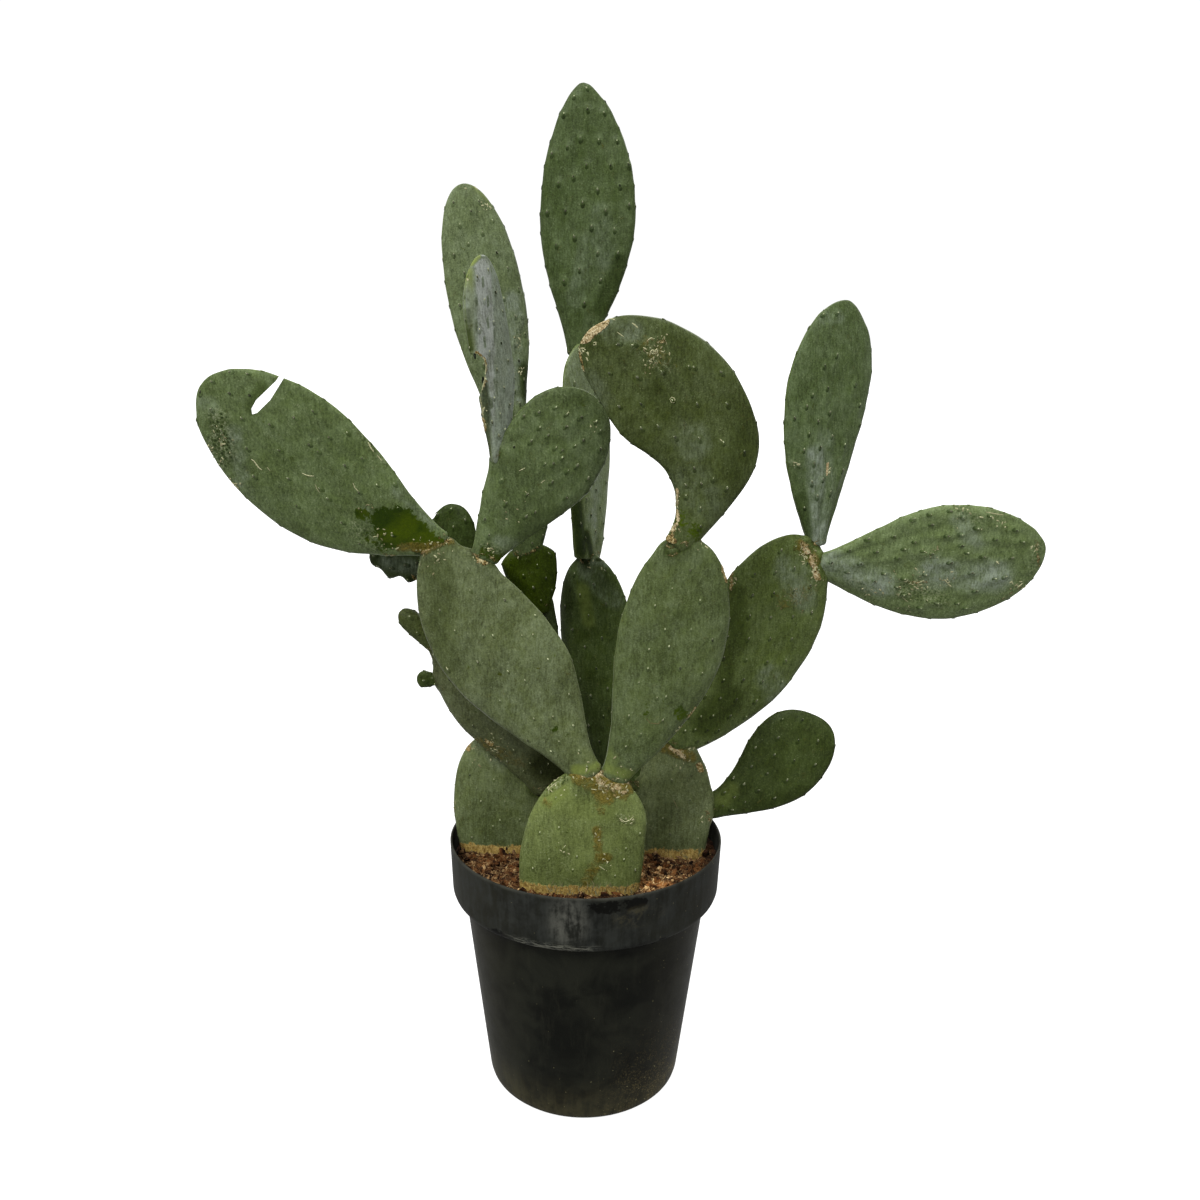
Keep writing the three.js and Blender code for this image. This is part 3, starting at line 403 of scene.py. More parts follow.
# Loose scattered flakes of cork: pixel, spread in pixels, count, darkest and palest shade.
FLAKES = {
    "far_left": [
        (220, 436, 7, 16, 0.2, 0.9), (216, 458, 6, 10, 0.3, 1), (236, 484, 4, 8, 0.5, 1),
        (384, 538, 6, 10, 0.2, 0.7), (366, 508, 4, 6, 0.1, 0.5), (425, 548, 7, 14, 0.4, 1),
        (390, 552, 5, 8, 0.3, 0.8)],
    "curved": [
        (655, 352, 7, 42, 0.1, 0.9), (582, 352, 3, 14, 0.5, 1), (664, 336, 4, 8, 0.4, 0.9),
        (677, 500, 2.5, 16, 0.2, 1), (674, 528, 3, 16, 0.1, 1), (648, 372, 4, 6, 0.2, 0.6)],
    "centre_left": [(490, 550, 4, 12, 0.3, 1), (512, 512, 6, 6, 0.3, 0.8), (590, 425, 4, 5, 0.4, 0.9)],
    "right": [
        (807, 552, 4, 22, 0.1, 1), (806, 558, 3, 12, 0.6, 1), (815, 570, 1.8, 22, 0.7, 1),
        (817, 580, 2.5, 8, 0.3, 0.9), (796, 600, 8, 12, 0.1, 0.6), (733, 580, 2.5, 10, 0.2, 0.8)],
    "upper_right": [(828, 470, 2, 6, 0.4, 1), (796, 464, 2.5, 5, 0.4, 1)],
    "far_right": [
        (916, 582, 6, 28, 0.3, 1), (947, 583, 4, 12, 0.4, 1), (898, 592, 9, 18, 0.2, 0.8),
        (1036, 548, 3, 14, 0.4, 1), (1020, 588, 5, 14, 0.3, 1), (932, 550, 5, 10, 0.2, 0.9),
        (905, 606, 8, 12, 0.4, 1), (866, 596, 8, 10, 0.4, 0.9), (1000, 515, 8, 12, 0.4, 1),
        (962, 508, 8, 10, 0.4, 1)],
    "front_left": [
        (440, 547, 8, 22, 0.2, 1), (480, 561, 3, 10, 0.3, 1), (588, 770, 6, 8, 0.3, 0.8),
        (430, 560, 8, 10, 0.2, 0.8)],
    "front_right": [
        (729, 572, 2, 14, 0.1, 1), (692, 714, 2.5, 10, 0.2, 1), (620, 774, 6, 10, 0.3, 0.8),
        (682, 730, 4, 8, 0.3, 0.8), (697, 540, 6, 8, 0.3, 0.9)],
    "base_front": [
        (588, 776, 6, 20, 0.2, 0.9), (614, 784, 7, 40, 0.1, 0.9), (602, 790, 5, 18, 0.1, 0.8),
        (554, 786, 6, 12, 0.6, 1), (628, 820, 5, 10, 0.5, 0.9), (606, 864, 3, 7, 0.6, 1),
        (598, 838, 3, 6, 0.2, 0.6), (563, 850, 4, 4, 0.6, 1), (592, 776, 2, 8, 0.6, 1)],
    "base_right": [
        (718, 765, 3, 14, 0.3, 1), (708, 818, 2.5, 10, 0.3, 1), (679, 752, 7, 26, 0.1, 1),
        (690, 742, 4, 8, 0.3, 0.9)],
    "base_left": [(469, 746, 3, 12, 0.3, 0.9), (454, 806, 2, 6, 0.3, 0.8), (483, 752, 7, 10, 0.2, 0.8)],
    "left_back": [(489, 743, 3, 10, 0.3, 0.9), (500, 750, 7, 12, 0.2, 0.7)],
    "square": [(520, 549, 4, 12, 0.3, 0.9)],
    "back_centre": [(592, 562, 5, 8, 0.3, 0.8)],
    "grey_narrow": [(484, 370, 2, 12, 0.4, 1), (484, 425, 2, 12, 0.1, 0.7), (483, 412, 1.5, 6, 0.6, 1)],
    "tall_back": [(482, 205, 6, 8, 0.5, 1), (518, 340, 4, 10, 0.5, 1), (520, 372, 3, 10, 0.5, 1)],
}

# Straw strands dried onto the skin: pixel range across, range down, count.
STRANDS = {
    "base_front": (546, 642, 887, 903, 110),
    "base_left": (462, 516, 855, 876, 50),
    "base_right": (664, 728, 855, 876, 50),
}

# pot and soil, as in the solids
HOLE_COUNT = 6
HOLE_R = 6
HOLE_RING_R = 66
POT_OUTSIDE = [(86, 0), (92, 2), (96, 6), (97.5, 11), (120.8, 203.5), (127, 205.5), (131.5, 208),
               (133, 212), (135, 261), (134.4, 262)]
POT_INSIDE = [(133.4, 262), (132.8, 261), (131, 213), (128, 208), (119, 205.5), (95.8, 12), (94, 7),
              (91, 4), (86, 2.2)]
FLOOR = 2.2
SOIL_Z = 240
GAP = 0.3
SOIL_SWELL = 1.8
SOIL_GRIT = 1

SEED = 20


# ---------------------------------------------------------------- camera

CAMERA_TURN = Matrix.Rotation(math.pi / 2 - CAMERA_PITCH, 3, "X") @ Matrix.Rotation(CAMERA_ROLL, 3, "Z")


def make_camera():
    data = bpy.data.cameras.new("camera")
    data.sensor_width = SENSOR
    data.lens = SENSOR * FOCAL / PHOTO
    camera = bpy.data.objects.new("camera", data)
    camera.matrix_world = Matrix.Translation(CAMERA_AT) @ CAMERA_TURN.to_4x4()
    bpy.context.scene.collection.objects.link(camera)
    bpy.context.scene.camera = camera


def pixel_way(u, v):
    """Way from the camera through a pixel of the photograph."""
    return (CAMERA_TURN @ Vector(((u - PHOTO / 2) / FOCAL, (PHOTO / 2 - v) / FOCAL, -1))).normalized()


# ---------------------------------------------------------------- shader writing

LIGHT = 2.8


def seen(code):
    """Colour of a surface that looks like #rrggbb in the studio's light."""
    parts = [int(code[k:k + 2], 16) / 255 for k in (1, 3, 5)]
    linear = [c / 12.92 if c <= 0.04045 else ((c + 0.055) / 1.055) ** 2.4 for c in parts]
    return (*[c / LIGHT for c in linear], 1)


class Paint:
    """Writes the nodes of one material. Its colour is laid on coat by coat."""

    def __init__(self, name):
        self.material = bpy.data.materials.new(name)
        self.material.use_nodes = True
        self.tree = self.material.node_tree
        self.tree.nodes.clear()
        self.shader = self.node("BsdfPrincipled")
        self.join(self.shader.outputs["BSDF"], self.node("OutputMaterial").inputs["Surface"])
        self.colour = None

    def node(self, kind, **settings):
        node = self.tree.nodes.new("ShaderNode" + kind)
        for key, value in settings.items():
            setattr(node, key, value)
        return node

    def join(self, value, socket):
        if isinstance(value, bpy.types.NodeSocket):
            self.tree.links.new(value, socket)
        else:
            socket.default_value = value

    def math(self, operation, first, *others):
        """One operation from the first value through all the others."""
        for other in others:
            node = self.node("Math", operation=operation)
            self.join(first, node.inputs[0])
            self.join(other, node.inputs[1])
            first = node.outputs[0]
        return first

    def times(self, *values):
        return self.math("MULTIPLY", *values)

    def plus(self, *values):
        return self.math("ADD", *values)

    def most(self, *values):
        return self.math("MAXIMUM", *values)

    def step(self, value, low, high, first=0.0, last=1.0):
        """Smooth change from first to last as value goes from low to high."""
        node = self.node("MapRange", interpolation_type="SMOOTHSTEP", clamp=True)
        for socket, number in zip(("Value", "From Min", "From Max", "To Min", "To Max"),
                                  (value, low, high, first, last)):
            self.join(number, node.inputs[socket])
        return node.outputs[0]

    def sway(self, noise, reach, low=0.3):
        """A noise as a smooth change between -reach and reach."""
        return self.step(noise, low, 1 - low, -reach, reach)

    def swing(self, noise, reach):
        """A noise round 0 in place of a half, reach times as strong."""
        return self.times(self.plus(noise, -0.5), reach)

    def mix(self, factor, a, b, blend="MIX"):
        node = self.node("Mix", data_type="RGBA", blend_type=blend)
        for value, socket in ((factor, 0), (a, 6), (b, 7)):
            self.join(value, node.inputs[socket])
        return node.outputs[2]

    def between(self, factor, first, last):
        """From one #rrggbb to another."""
        return self.mix(factor, seen(first), seen(last))

    def tinted(self, colour, tint):
        return self.mix(1.0, colour, tint, "MULTIPLY")

    def coat(self, share, colour):
        """Lays a colour, which may be a #rrggbb, over what is there."""
        self.colour = self.mix(share, self.colour, seen(colour) if isinstance(colour, str) else colour)

    def wash(self, share, tint):
        """Tints what is there."""
        self.coat(share, self.tinted(self.colour, (*tint, 1)))

    def where(self, name=None):
        """Place of a point: an attribute in metres, or the row frame."""
        if name is None:
            return self.node("TexCoord").outputs["Object"]
        return self.node("Attribute", attribute_name=name).outputs["Vector"]

    def channels(self, name):
        """The three numbers of a colour attribute."""
        split = self.node("SeparateColor")
        self.join(self.node("Attribute", attribute_name=name).outputs["Color"], split.inputs[0])
        return split.outputs[0], split.outputs[1], split.outputs[2]

    def axes(self, place):
        split = self.node("SeparateXYZ")
        self.join(place, split.inputs[0])
        return split.outputs

    def stretched(self, place, factors):
        node = self.node("VectorMath", operation="MULTIPLY")
        self.join(place, node.inputs[0])
        node.inputs[1].default_value = factors
        return node.outputs[0]

    def length(self, place):
        node = self.node("VectorMath", operation="LENGTH")
        self.join(place, node.inputs[0])
        return node.outputs["Value"]

    def noise(self, place, size, detail=3.0, rough=0.55, bend=0.0):
        """Cloudy noise whose lumps are about size mm."""
        node = self.node("TexNoise")
        for key, value in (("Vector", place), ("Scale", 1 / (size * MM)), ("Detail", detail),
                           ("Roughness", rough), ("Distortion", bend)):
            self.join(value, node.inputs[key])
        return node.outputs[0]

    def cells(self, place, size):
        """Distance from the nearest of scattered points, about size mm apart."""
        node = self.node("TexVoronoi", feature="F1")
        self.join(place, node.inputs["Vector"])
        self.join(1 / (size * MM), node.inputs["Scale"])
        return node.outputs["Distance"]

    def spot(self, place, centre, radii):
        """1 at a centre in mm and 0 past radii in mm, on smooth slopes."""
        shift = self.node("VectorMath", operation="SUBTRACT")
        self.join(place, shift.inputs[0])
        shift.inputs[1].default_value = [c * MM for c in centre]
        scaled = self.stretched(shift.outputs[0], [1 / (r * MM) for r in radii])
        return self.step(self.length(scaled), 1.0, 0.35)

    def bump(self, height, distance, strength=1.0):
        node = self.node("Bump")
        for key, value in (("Height", height), ("Distance", distance * MM), ("Strength", strength)):
            self.join(value, node.inputs[key])
        self.join(node.outputs[0], self.shader.inputs["Normal"])

    def finish(self, roughness, specular):
        for key, value in (("Base Color", self.colour), ("Roughness", roughness),
                           ("Specular IOR Level", specular)):
            self.join(value, self.shader.inputs[key])
        return self.material


# ---------------------------------------------------------------- pad materials

def skin_noises(p, place, hung):
    """The noises that break up the skin, from broad patches to fine grain."""
    return SimpleNamespace(
        patches=p.noise(place, 38, 3, 0.6, 0.4), clouds=p.noise(place, 10, 5, 0.68),
        folds=p.noise(p.stretched(place, (1, 0.28, 1)), 8, 3, 0.6), streaks=p.noise(hung, 2.0, 4, 0.7),
        grain=p.noise(place, 1.5, 3, 0.7), rubs=p.noise(place, 17, 5, 0.7, 0.6),
        torn=p.noise(place, 6, 5, 0.72, 0.8), fine=p.noise(place, 2.4, 5, 0.75, 0.5))


def paint_green(p, n, look, edge, painted_relief_light):
    """The pad's green, in patches, folds and streaks, with painted light on raised parts and painted shade in
    hollows, and a yellower rim that is partly a painted highlight.
    """
    tone, red, blue = look
    hue = p.node("CombineColor")
    for value, socket in zip((p.times(red, 0.1), 0.1, p.times(blue, 0.1)), hue.inputs):
        p.join(value, socket)
    # the last term paints raised parts lighter and hollows darker: painted light and shade of the relief
    level = p.plus(p.step(n.patches, 0.3, 0.7, 0.93, 1.07), p.sway(n.clouds, 0.08, 0.32),
                   p.sway(n.folds, 0.1), p.sway(n.streaks, 0.21), p.sway(n.grain, 0.28),
                   p.step(painted_relief_light, 0, 1, -0.3, 0.3))
    p.colour = p.tinted(hue.outputs[0], p.times(tone, level))
    p.wash(p.times(p.step(n.rubs, 0.55, 0.66), 0.2), (0.72, 0.8, 0.5))
    # yellower rim, partly a painted highlight along the edge
    rim_and_edge_highlight = p.times(p.step(edge, 0.3, 0.9), p.step(n.clouds, 0.3, 0.6, 0.4, 1))
    p.coat(p.times(rim_and_edge_highlight, 0.5), "#70804a")


def paint_wax(p, n, tone, bloom, edge, painted_relief_light):
    """Grey wax, thicker in clouds and thin on the rim, and small waxy flecks. Where bloom marks lay it on the
    middles of far_right and top, it is partly a painted sheen.
    """
    wax = p.step(p.plus(p.times(n.patches, 0.45), p.times(n.clouds, 0.55)), 0.36, 0.64, 0.3, 1)
    wax = p.times(wax, bloom, p.step(edge, 0.3, 0.7, 1, 0.25), p.step(n.streaks, 0.35, 0.6, 0.6, 1),
                  p.step(painted_relief_light, 0.2, 0.8, 0.75, 1.2))
    wax = p.math("MINIMUM", wax, 0.94)
    chalk = p.between(p.step(bloom, 1.2, 1.5), "#828c7c", "#939890")
    p.coat(wax, p.tinted(chalk, p.plus(1.0, p.sway(n.streaks, 0.2), p.sway(n.grain, 0.16))))
    fleck = p.times(p.step(n.grain, 0.58, 0.7), p.step(n.clouds, 0.42, 0.6))
    p.coat(p.times(fleck, tone, 0.9), "#a2a98c")
    return wax


def paint_washed(p, n, wet):
    """Dark wet green where the wax is washed off."""
    ragged = p.plus(p.swing(n.torn, 1.9), p.swing(n.rubs, 1.3), p.swing(n.fine, 0.7))
    washed = p.step(p.plus(wet, ragged), 0.34, 0.6)
    soggy = p.between(p.step(n.patches, 0.4, 0.6), "#283a01", "#405001")
    p.coat(washed, p.mix(p.step(n.fine, 0.3, 0.7), p.tinted(soggy, (0.7, 0.75, 0.8, 1)), soggy))
    return washed


def paint_scabs(p, n, place, scab):
    """Pale rims round dark grains."""
    crust = p.cells(place, 3.2)
    p.coat(p.times(scab, p.step(crust, 0.46, 0.2), 0.85), "#22300f")
    p.coat(p.times(scab, p.step(crust, 0.5, 0.72), p.step(n.grain, 0.42, 0.6), 0.6), "#9aa080")


def paint_cork(p, n, stain, cork, callus):
    """Brown stains, dark and pale bark, and tan callus, each broken up by noise."""
    soaked = p.step(p.plus(stain, p.swing(n.torn, 2.0)), 0.15, 0.95)
    p.coat(p.times(soaked, 0.88), p.between(p.step(n.fine, 0.38, 0.62), "#4c4410", "#7a6c2e"))
    corky = p.step(p.plus(cork, p.swing(n.torn, 1.6)), 0.6, 0.78)
    bark = p.between(p.step(n.fine, 0.36, 0.5), "#3c2c14", "#8a7746")
    p.coat(corky, p.mix(p.step(n.fine, 0.5, 0.62), bark, seen("#cec196")))
    bare = p.step(p.plus(callus, p.swing(n.torn, 1.3)), 0.55, 0.7)
    tan = p.between(p.step(p.plus(n.torn, p.swing(n.fine, 0.9)), 0.38, 0.5), "#544522", "#a8946a")
    pale = p.step(p.plus(p.times(n.fine, 0.6), p.times(n.grain, 0.4)), 0.48, 0.58)
    p.coat(bare, p.mix(pale, tan, seen("#d8caa2")))
    return soaked, p.most(corky, bare)


def paint_mud(p, n, place, hung, mud):
    """Dried mud at the soil line, with straw-coloured threads."""
    wave = p.plus(p.swing(p.noise(place, 9, 4, 0.7), 1.1), p.swing(p.noise(hung, 2.6, 4, 0.7), 0.9))
    muddy = p.step(p.plus(mud, wave), 0.4, 0.62)
    dried = p.between(p.step(n.torn, 0.36, 0.6), "#785a2a", "#a88a48")
    threads = p.plus(p.times(p.noise(hung, 1.6, 4, 0.75), 0.5), p.times(n.fine, 0.5))
    p.coat(p.times(muddy, 0.9), p.mix(p.step(threads, 0.46, 0.58, 0, 0.8), dried, seen("#ceb26c")))
    return muddy


def skin_material():
    """Waxy pad skin: green under a broken grey bloom, with fine streaks, cork, stains and mud."""
    p = Paint("pad_skin")
    look = p.channels("look")
    cork, stain, wet = p.channels("marks")
    scab, callus, mud = p.channels("wear")
    edge, areole_ring_and_painted_shadow, painted_relief_light = p.channels("form")
    bloom, fresh_green_and_painted_light, painted_shade_and_dark_dashes = p.channels("film")
    place = p.where("local")
    hung = p.stretched(p.where(), (1, 1, 0.22))
    n = skin_noises(p, place, hung)

    paint_green(p, n, look, edge, painted_relief_light)
    wax = paint_wax(p, n, look[0], bloom, edge, painted_relief_light)
    # yellower young skin, partly a painted highlight on a rim
    p.coat(p.times(fresh_green_and_painted_light, p.step(n.clouds, 0.3, 0.6, 0.4, 1)), "#75823f")
    # round each areole the skin is darker, on young pads most; under each hump this is painted shadow
    p.wash(areole_ring_and_painted_shadow, (0.4, 0.48, 0.3))
    # painted shade where other pads and joint creases shade the skin, and real dark dashes
    p.wash(painted_shade_and_dark_dashes, (0.17, 0.21, 0.12))
    washed = paint_washed(p, n, wet)
    paint_scabs(p, n, place, scab)
    soaked, corky = paint_cork(p, n, stain, cork, callus)
    muddy = paint_mud(p, n, place, hung, mud)

    rough = p.times(p.step(wax, 0, 0.7, 0.4, 0.6), p.step(washed, 0, 1, 1, 0.6))
    rough = p.plus(rough, p.times(p.most(corky, muddy), 0.35))
    crust = p.most(corky, p.times(scab, 0.8), p.times(muddy, 0.6), p.times(soaked, 0.5))
    p.bump(p.plus(p.times(n.streaks, 0.3), p.times(n.clouds, 0.5), p.times(n.grain, 0.35),
                  p.times(crust, p.plus(n.torn, n.fine), 1.8)), 1.1, 0.7)
    return p.finish(rough, 0.03)


def areole_material():
    """Felted cushion of an areole: dark brown on young pads, pale grey on old ones."""
    p = Paint("areole_felt")
    shade = p.channels("form")[0]
    fuzz = p.noise(p.where("local"), 0.5, 3, 0.7)
    p.colour = p.between(shade, "#191f0c", "#c8cea4")
    p.coat(p.step(fuzz, 0.35, 0.7, 0, 0.4), p.between(shade, "#38431f", "#96a070"))
    p.bump(fuzz, 0.3, 0.8)
    return p.finish(0.9, 0.1)


def spine_material():
    """Straw-coloured spines, browner towards the root."""
    p = Paint("spine_straw")
    fibre = p.noise(p.where("local"), 0.8, 2)
    root = p.channels("form")[0]
    p.colour = p.between(p.step(fibre, 0.3, 0.7), "#a8a27c", "#d2ceb0")
    p.coat(p.step(root, 0.6, 0.0, 0, 0.8), "#6d6034")
    p.bump(fibre, 0.1, 0.5)
    return p.finish(0.45, 0.2)


def scar_material():
    """Raised scar tissue, brown to pale straw."""
    p = Paint("scar_cork")
    shade = p.channels("form")[0]
    flakes = p.noise(p.where("local"), 1.2, 3, 0.7)
    p.colour = p.between(shade, "#544818", "#c4c298")
    p.coat(p.step(flakes, 0.4, 0.65, 0, 0.6), p.between(shade, "#2e2c10", "#969870"))
    p.bump(flakes, 0.4, 0.8)
    return p.finish(0.85, 0.1)


# ---------------------------------------------------------------- mesh writing

class Shape:
    """Gathers points, faces, the material number of each face and values at each point."""

    def __init__(self):
        self.points, self.faces, self.paints, self.values = [], [], [], {}
        self.count = 0

    def add(self, points, faces, paint=0, **values):
        points = np.asarray(points, float)
        self.faces.extend([[int(i) + self.count for i in face] for face in faces])
        self.paints.extend([paint] * len(faces))
        for name, rows in values.items():
            rows = np.broadcast_to(np.asarray(rows, float), (len(points), 3))
            self.values.setdefault(name, []).append((self.count, rows))
        self.points.append(points)
        self.count += len(points)

    def build(self, name, materials=()):
        """A smooth-shaded object in metres. The value local is a place, all others are colours."""
        mesh = bpy.data.meshes.new(name)
        mesh.from_pydata((np.concatenate(self.points) * MM).tolist(), [], self.faces)
        for material in materials:
            mesh.materials.append(material)
        mesh.polygons.foreach_set("material_index", self.paints)
        mesh.polygons.foreach_set("use_smooth", [True] * len(self.faces))
        for key, parts in self.values.items():
            rows = np.zeros((self.count, 3))
            for start, part in parts:
                rows[start:start + len(part)] = part
            if key == "local":
                mesh.attributes.new(key, "FLOAT_VECTOR", "POINT").data.foreach_set("vector", rows.ravel())
            else:
                rows = np.column_stack([rows, np.ones(len(rows))])
                mesh.attributes.new(key, "FLOAT_COLOR", "POINT").data.foreach_set("color", rows.ravel())
        obj = bpy.data.objects.new(name, mesh)
        bpy.context.scene.collection.objects.link(obj)
        return obj


def finish_piece(obj, node, sharp):
    """Edges sharper than so many degrees stay sharp."""
    obj.data.set_sharp_from_angle(angle=math.radians(sharp))
    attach(obj, "root")
    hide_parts(node)


def carve(obj, tool):
    """Cuts tool out of obj for good and removes tool."""
    cut = obj.modifiers.new("cut", "BOOLEAN")
    cut.object = tool
    cut.solver = "EXACT"
    evaluated = obj.evaluated_get(bpy.context.evaluated_depsgraph_get())
    mesh = bpy.data.meshes.new_from_object(evaluated)
    obj.modifiers.clear()
    obj.data = mesh
    bpy.data.objects.remove(tool)


def grid_faces(rows, columns, turned=False):
    """Faces of a closed tube of points with a pole at each end. turned swaps inside and outside."""
    faces = []
    top, bottom = rows * columns, rows * columns + 1
    for j in range(columns):
        k = (j + 1) % columns
        faces.append((bottom, k, j))
        for i in range(rows - 1):
            faces.append((i * columns + j, i * columns + k, (i + 1) * columns + k, (i + 1) * columns + j))
        faces.append((top, (rows - 1) * columns + j, (rows - 1) * columns + k))
    return [face[::-1] for face in faces] if turned else faces


def tube(corners, line):
    """Points of a tube along a line, closed by a pole at each end."""
    return np.concatenate([corners.reshape(-1, 3), line[-1:], line[:1]])


def unit(vectors, least=0.0):
    """Each row at length 1. least keeps a row of zeros as it is."""
    return vectors / (np.linalg.norm(vectors, axis=-1, keepdims=True) + least)


def smooth_step(values):
    values = np.clip(values, 0, 1)
    return values * values * (3 - 2 * values)


def at_share(pair, share):
    """The first of a pair, and a share of the second on top."""
    return pair[0] + pair[1] * share


def grains(points, size, seed, octaves=3):
    """Noise from -1 to 1 at points, with lumps of about size mm."""
    shift = Vector((seed * 7.31, seed * 3.17, seed * 1.7))
    return np.array([noise.fractal(Vector(p) / size + shift, 1, 2, octaves) for p in points])


def tree_of(places):
    tree = KDTree(len(places))
    for k, place in enumerate(places):
        tree.insert(place, k)
    tree.balance()
    return tree


def to_segment(points, a, b):
    """Distance of each point from the stretch between a and b."""
    way = b - a
    length = way @ way
    s = np.clip((points - a) @ way / length, 0, 1) if length > 0 else np.zeros(len(points))
    return np.linalg.norm(points - a - s[:, None] * way, axis=1)


# ---------------------------------------------------------------- smooth pads

PAD_STEP = 2.3
ROOT_ROWS = 4
LEAST_ROWS = 8
LEAST_COLUMNS = 6
NORMAL_STEP = 0.004
ALMOST_TIP = 0.9999


def rounded(values):
    return np.sign(values) * np.abs(values) ** (2 / SECTION)


def half_width(pad, t, side):
    middle = pad["widest"] + pad["skew"] * side
    lobe = 1 + pad["lobes"] * np.sin(2 * np.pi * LOBE_WAVES * t + side)
    half, foot = pad["width"] / 2, pad["foot"] / 2
    rise = foot + (half - foot) * np.sin(np.pi / 2 * np.clip(t / middle, 0, 1)) ** pad["taper"]
    u = np.clip((t - middle) / (1 - middle), 0, 1)
    fall = half * (1 - u ** pad["square"]) ** (pad["tip"] / pad["square"])
    return np.where(t <= middle, rise, fall) * lobe


def half_thick(pad, t):
    half = pad["thick"] / 2
    rise = THIN_FOOT + (1 - THIN_FOOT) * np.sin(np.pi / 2 * np.clip(t / THICKEST, 0, 1))
    u = np.clip((t - THICKEST) / (1 - THICKEST), 0, 1)
    return half * np.where(t <= THICKEST, rise, np.sqrt(1 - u ** TIP_FULLNESS))


def squeeze(pad, t):
    """The foot rounds in below its joint."""
    down = np.clip(-t * pad["length"] / pad["root"], 0, 1)
    return ROOT_TAPER + (1 - ROOT_TAPER) * np.sqrt(1 - down ** 2)


def bent(pad, t, w, h):
    """Point at fraction t of the length, w sideways and h out of the face, in the pad's frame."""
    bend = math.radians(pad["bend"])
    if bend == 0:
        return np.stack([w, pad["length"] * t, h], -1)
    r = pad["length"] / bend
    here = bend * (t - 0.5)
    return np.stack([r * (math.cos(bend / 2) - np.cos(here)) + w * np.cos(here),
                     r * (np.sin(here) + math.sin(bend / 2)) - w * np.sin(here), h], -1)


def unbent(pad, x, y):
    """Fraction of the length and way sideways of a point of the pad's frame."""
    bend = math.radians(pad["bend"])
    if bend == 0:
        return y / pad["length"], x
    r = pad["length"] / bend
    turn = 1 if r > 0 else -1
    dx, dy = (x - r * math.cos(bend / 2)) * turn, (y - r * math.sin(bend / 2)) * turn
    return math.atan2(dy, -dx) / bend + 0.5, r - math.hypot(dx, dy) * turn


def on_section(pad, t, angle):
    """Point of the smooth pad at fraction t of the length and an angle round it."""
    t, angle = np.broadcast_arrays(t, angle)
    side = np.where(np.cos(angle) >= 0, 1, -1)
    w = rounded(np.cos(angle)) * half_width(pad, t, side) * squeeze(pad, t)
    h = rounded(np.sin(angle)) * half_thick(pad, t) * squeeze(pad, t)
    return bent(pad, t, w, h)


def face_angle(across):
    """Angle round the pad at a share of its half width."""
    return math.acos(max(-1, min(1, np.sign(across) * abs(across) ** (SECTION / 2))))


def half_width_at(pad, t, across):
    return half_width(pad, np.array(t), 1 if across > 0 else -1)


def normal_at(pad, t, angle):
    """Outward normal of the smooth pad, by small steps along and round it."""
    step = NORMAL_STEP
    up = on_section(pad, np.minimum(t + step, ALMOST_TIP), angle) - on_section(pad, t - step, angle)
    round_ = on_section(pad, t, angle + step) - on_section(pad, t, angle - step)
    normal = unit(np.cross(up, round_), 1e-12)
    out = on_section(pad, t, angle) - bent(pad, t, 0 * t, 0 * t)
    flip = np.sign((normal * out).sum(-1, keepdims=True))
    return normal * np.where(flip == 0, 1, flip)


def run_of(points):
    """Distance along a line at each of its points."""
    return np.concatenate([[0], np.cumsum(np.linalg.norm(np.diff(points, axis=0), axis=1))])


def even(values, line, least):
    """The values at even steps along a line, ends included."""
    run = run_of(line)
    count = max(least, round(run[-1] / PAD_STEP))
    return np.interp(np.linspace(0, run[-1], count + 1), run, values)


def rows_of(pad):
    """Fractions of the length with even steps along the outline, and more in the rounded root."""
    t = 1 - np.linspace(1, 0, 3000) ** 2
    root = -np.sin(np.linspace(np.pi / 2, 0, ROOT_ROWS + 1)[:-1]) * pad["root"] / pad["length"]
    outline = np.stack([half_width(pad, t, 1), pad["length"] * t], -1)
    return np.concatenate([root, even(t, outline, LEAST_ROWS)[:-1]])


def columns_of(pad):
    """Angles with even steps round the pad."""
    angle = np.linspace(0, np.pi / 2, 800)
    quarter = np.stack([pad["width"] / 2 * rounded(np.cos(angle)),
                        pad["thick"] / 2 * rounded(np.sin(angle))], -1)
    first = even(angle, quarter, LEAST_COLUMNS)
    rising, falling = first[:-1], first[:0:-1]
    return np.concatenate([rising, np.pi - falling, np.pi + rising, 2 * np.pi - falling])


def basis_of(pad):
    """Across, along and out of the pad as columns, in the row frame."""
    lean, back, turn = (math.radians(pad[k]) for k in ("lean", "back", "turn"))
    along = Vector((math.sin(lean) * math.cos(back), math.sin(back), math.cos(lean) * math.cos(back)))
    out = Vector((0, -1, 0))
    out = (out - along * out.dot(along)).normalized()
    out = Matrix.Rotation(turn, 3, along) @ out
    return np.array([along.cross(out), along, out]).T


def to_row(pad, points):
    """Points of the pad's frame in the row frame."""
    return points @ basis_of(pad).T + np.array(pad["at"], float)


def to_pad(pad, point):
    return (point - np.array(pad["at"], float)) @ basis_of(pad)


SPINE_ROOM = 0.5


def inside(pad, point):
    """True where a point lies within a smooth pad, or so near that a spine would reach it."""
    x, y, z = to_pad(pad, point)
    t, across = unbent(pad, x, y)
    if not -pad["root"] / pad["length"] < t < 1 or abs(z) > pad["thick"] / 2:
        return False
    return abs(across) < float(half_width_at(pad, t, across)) - SPINE_ROOM


SKIN_TRIES = 6


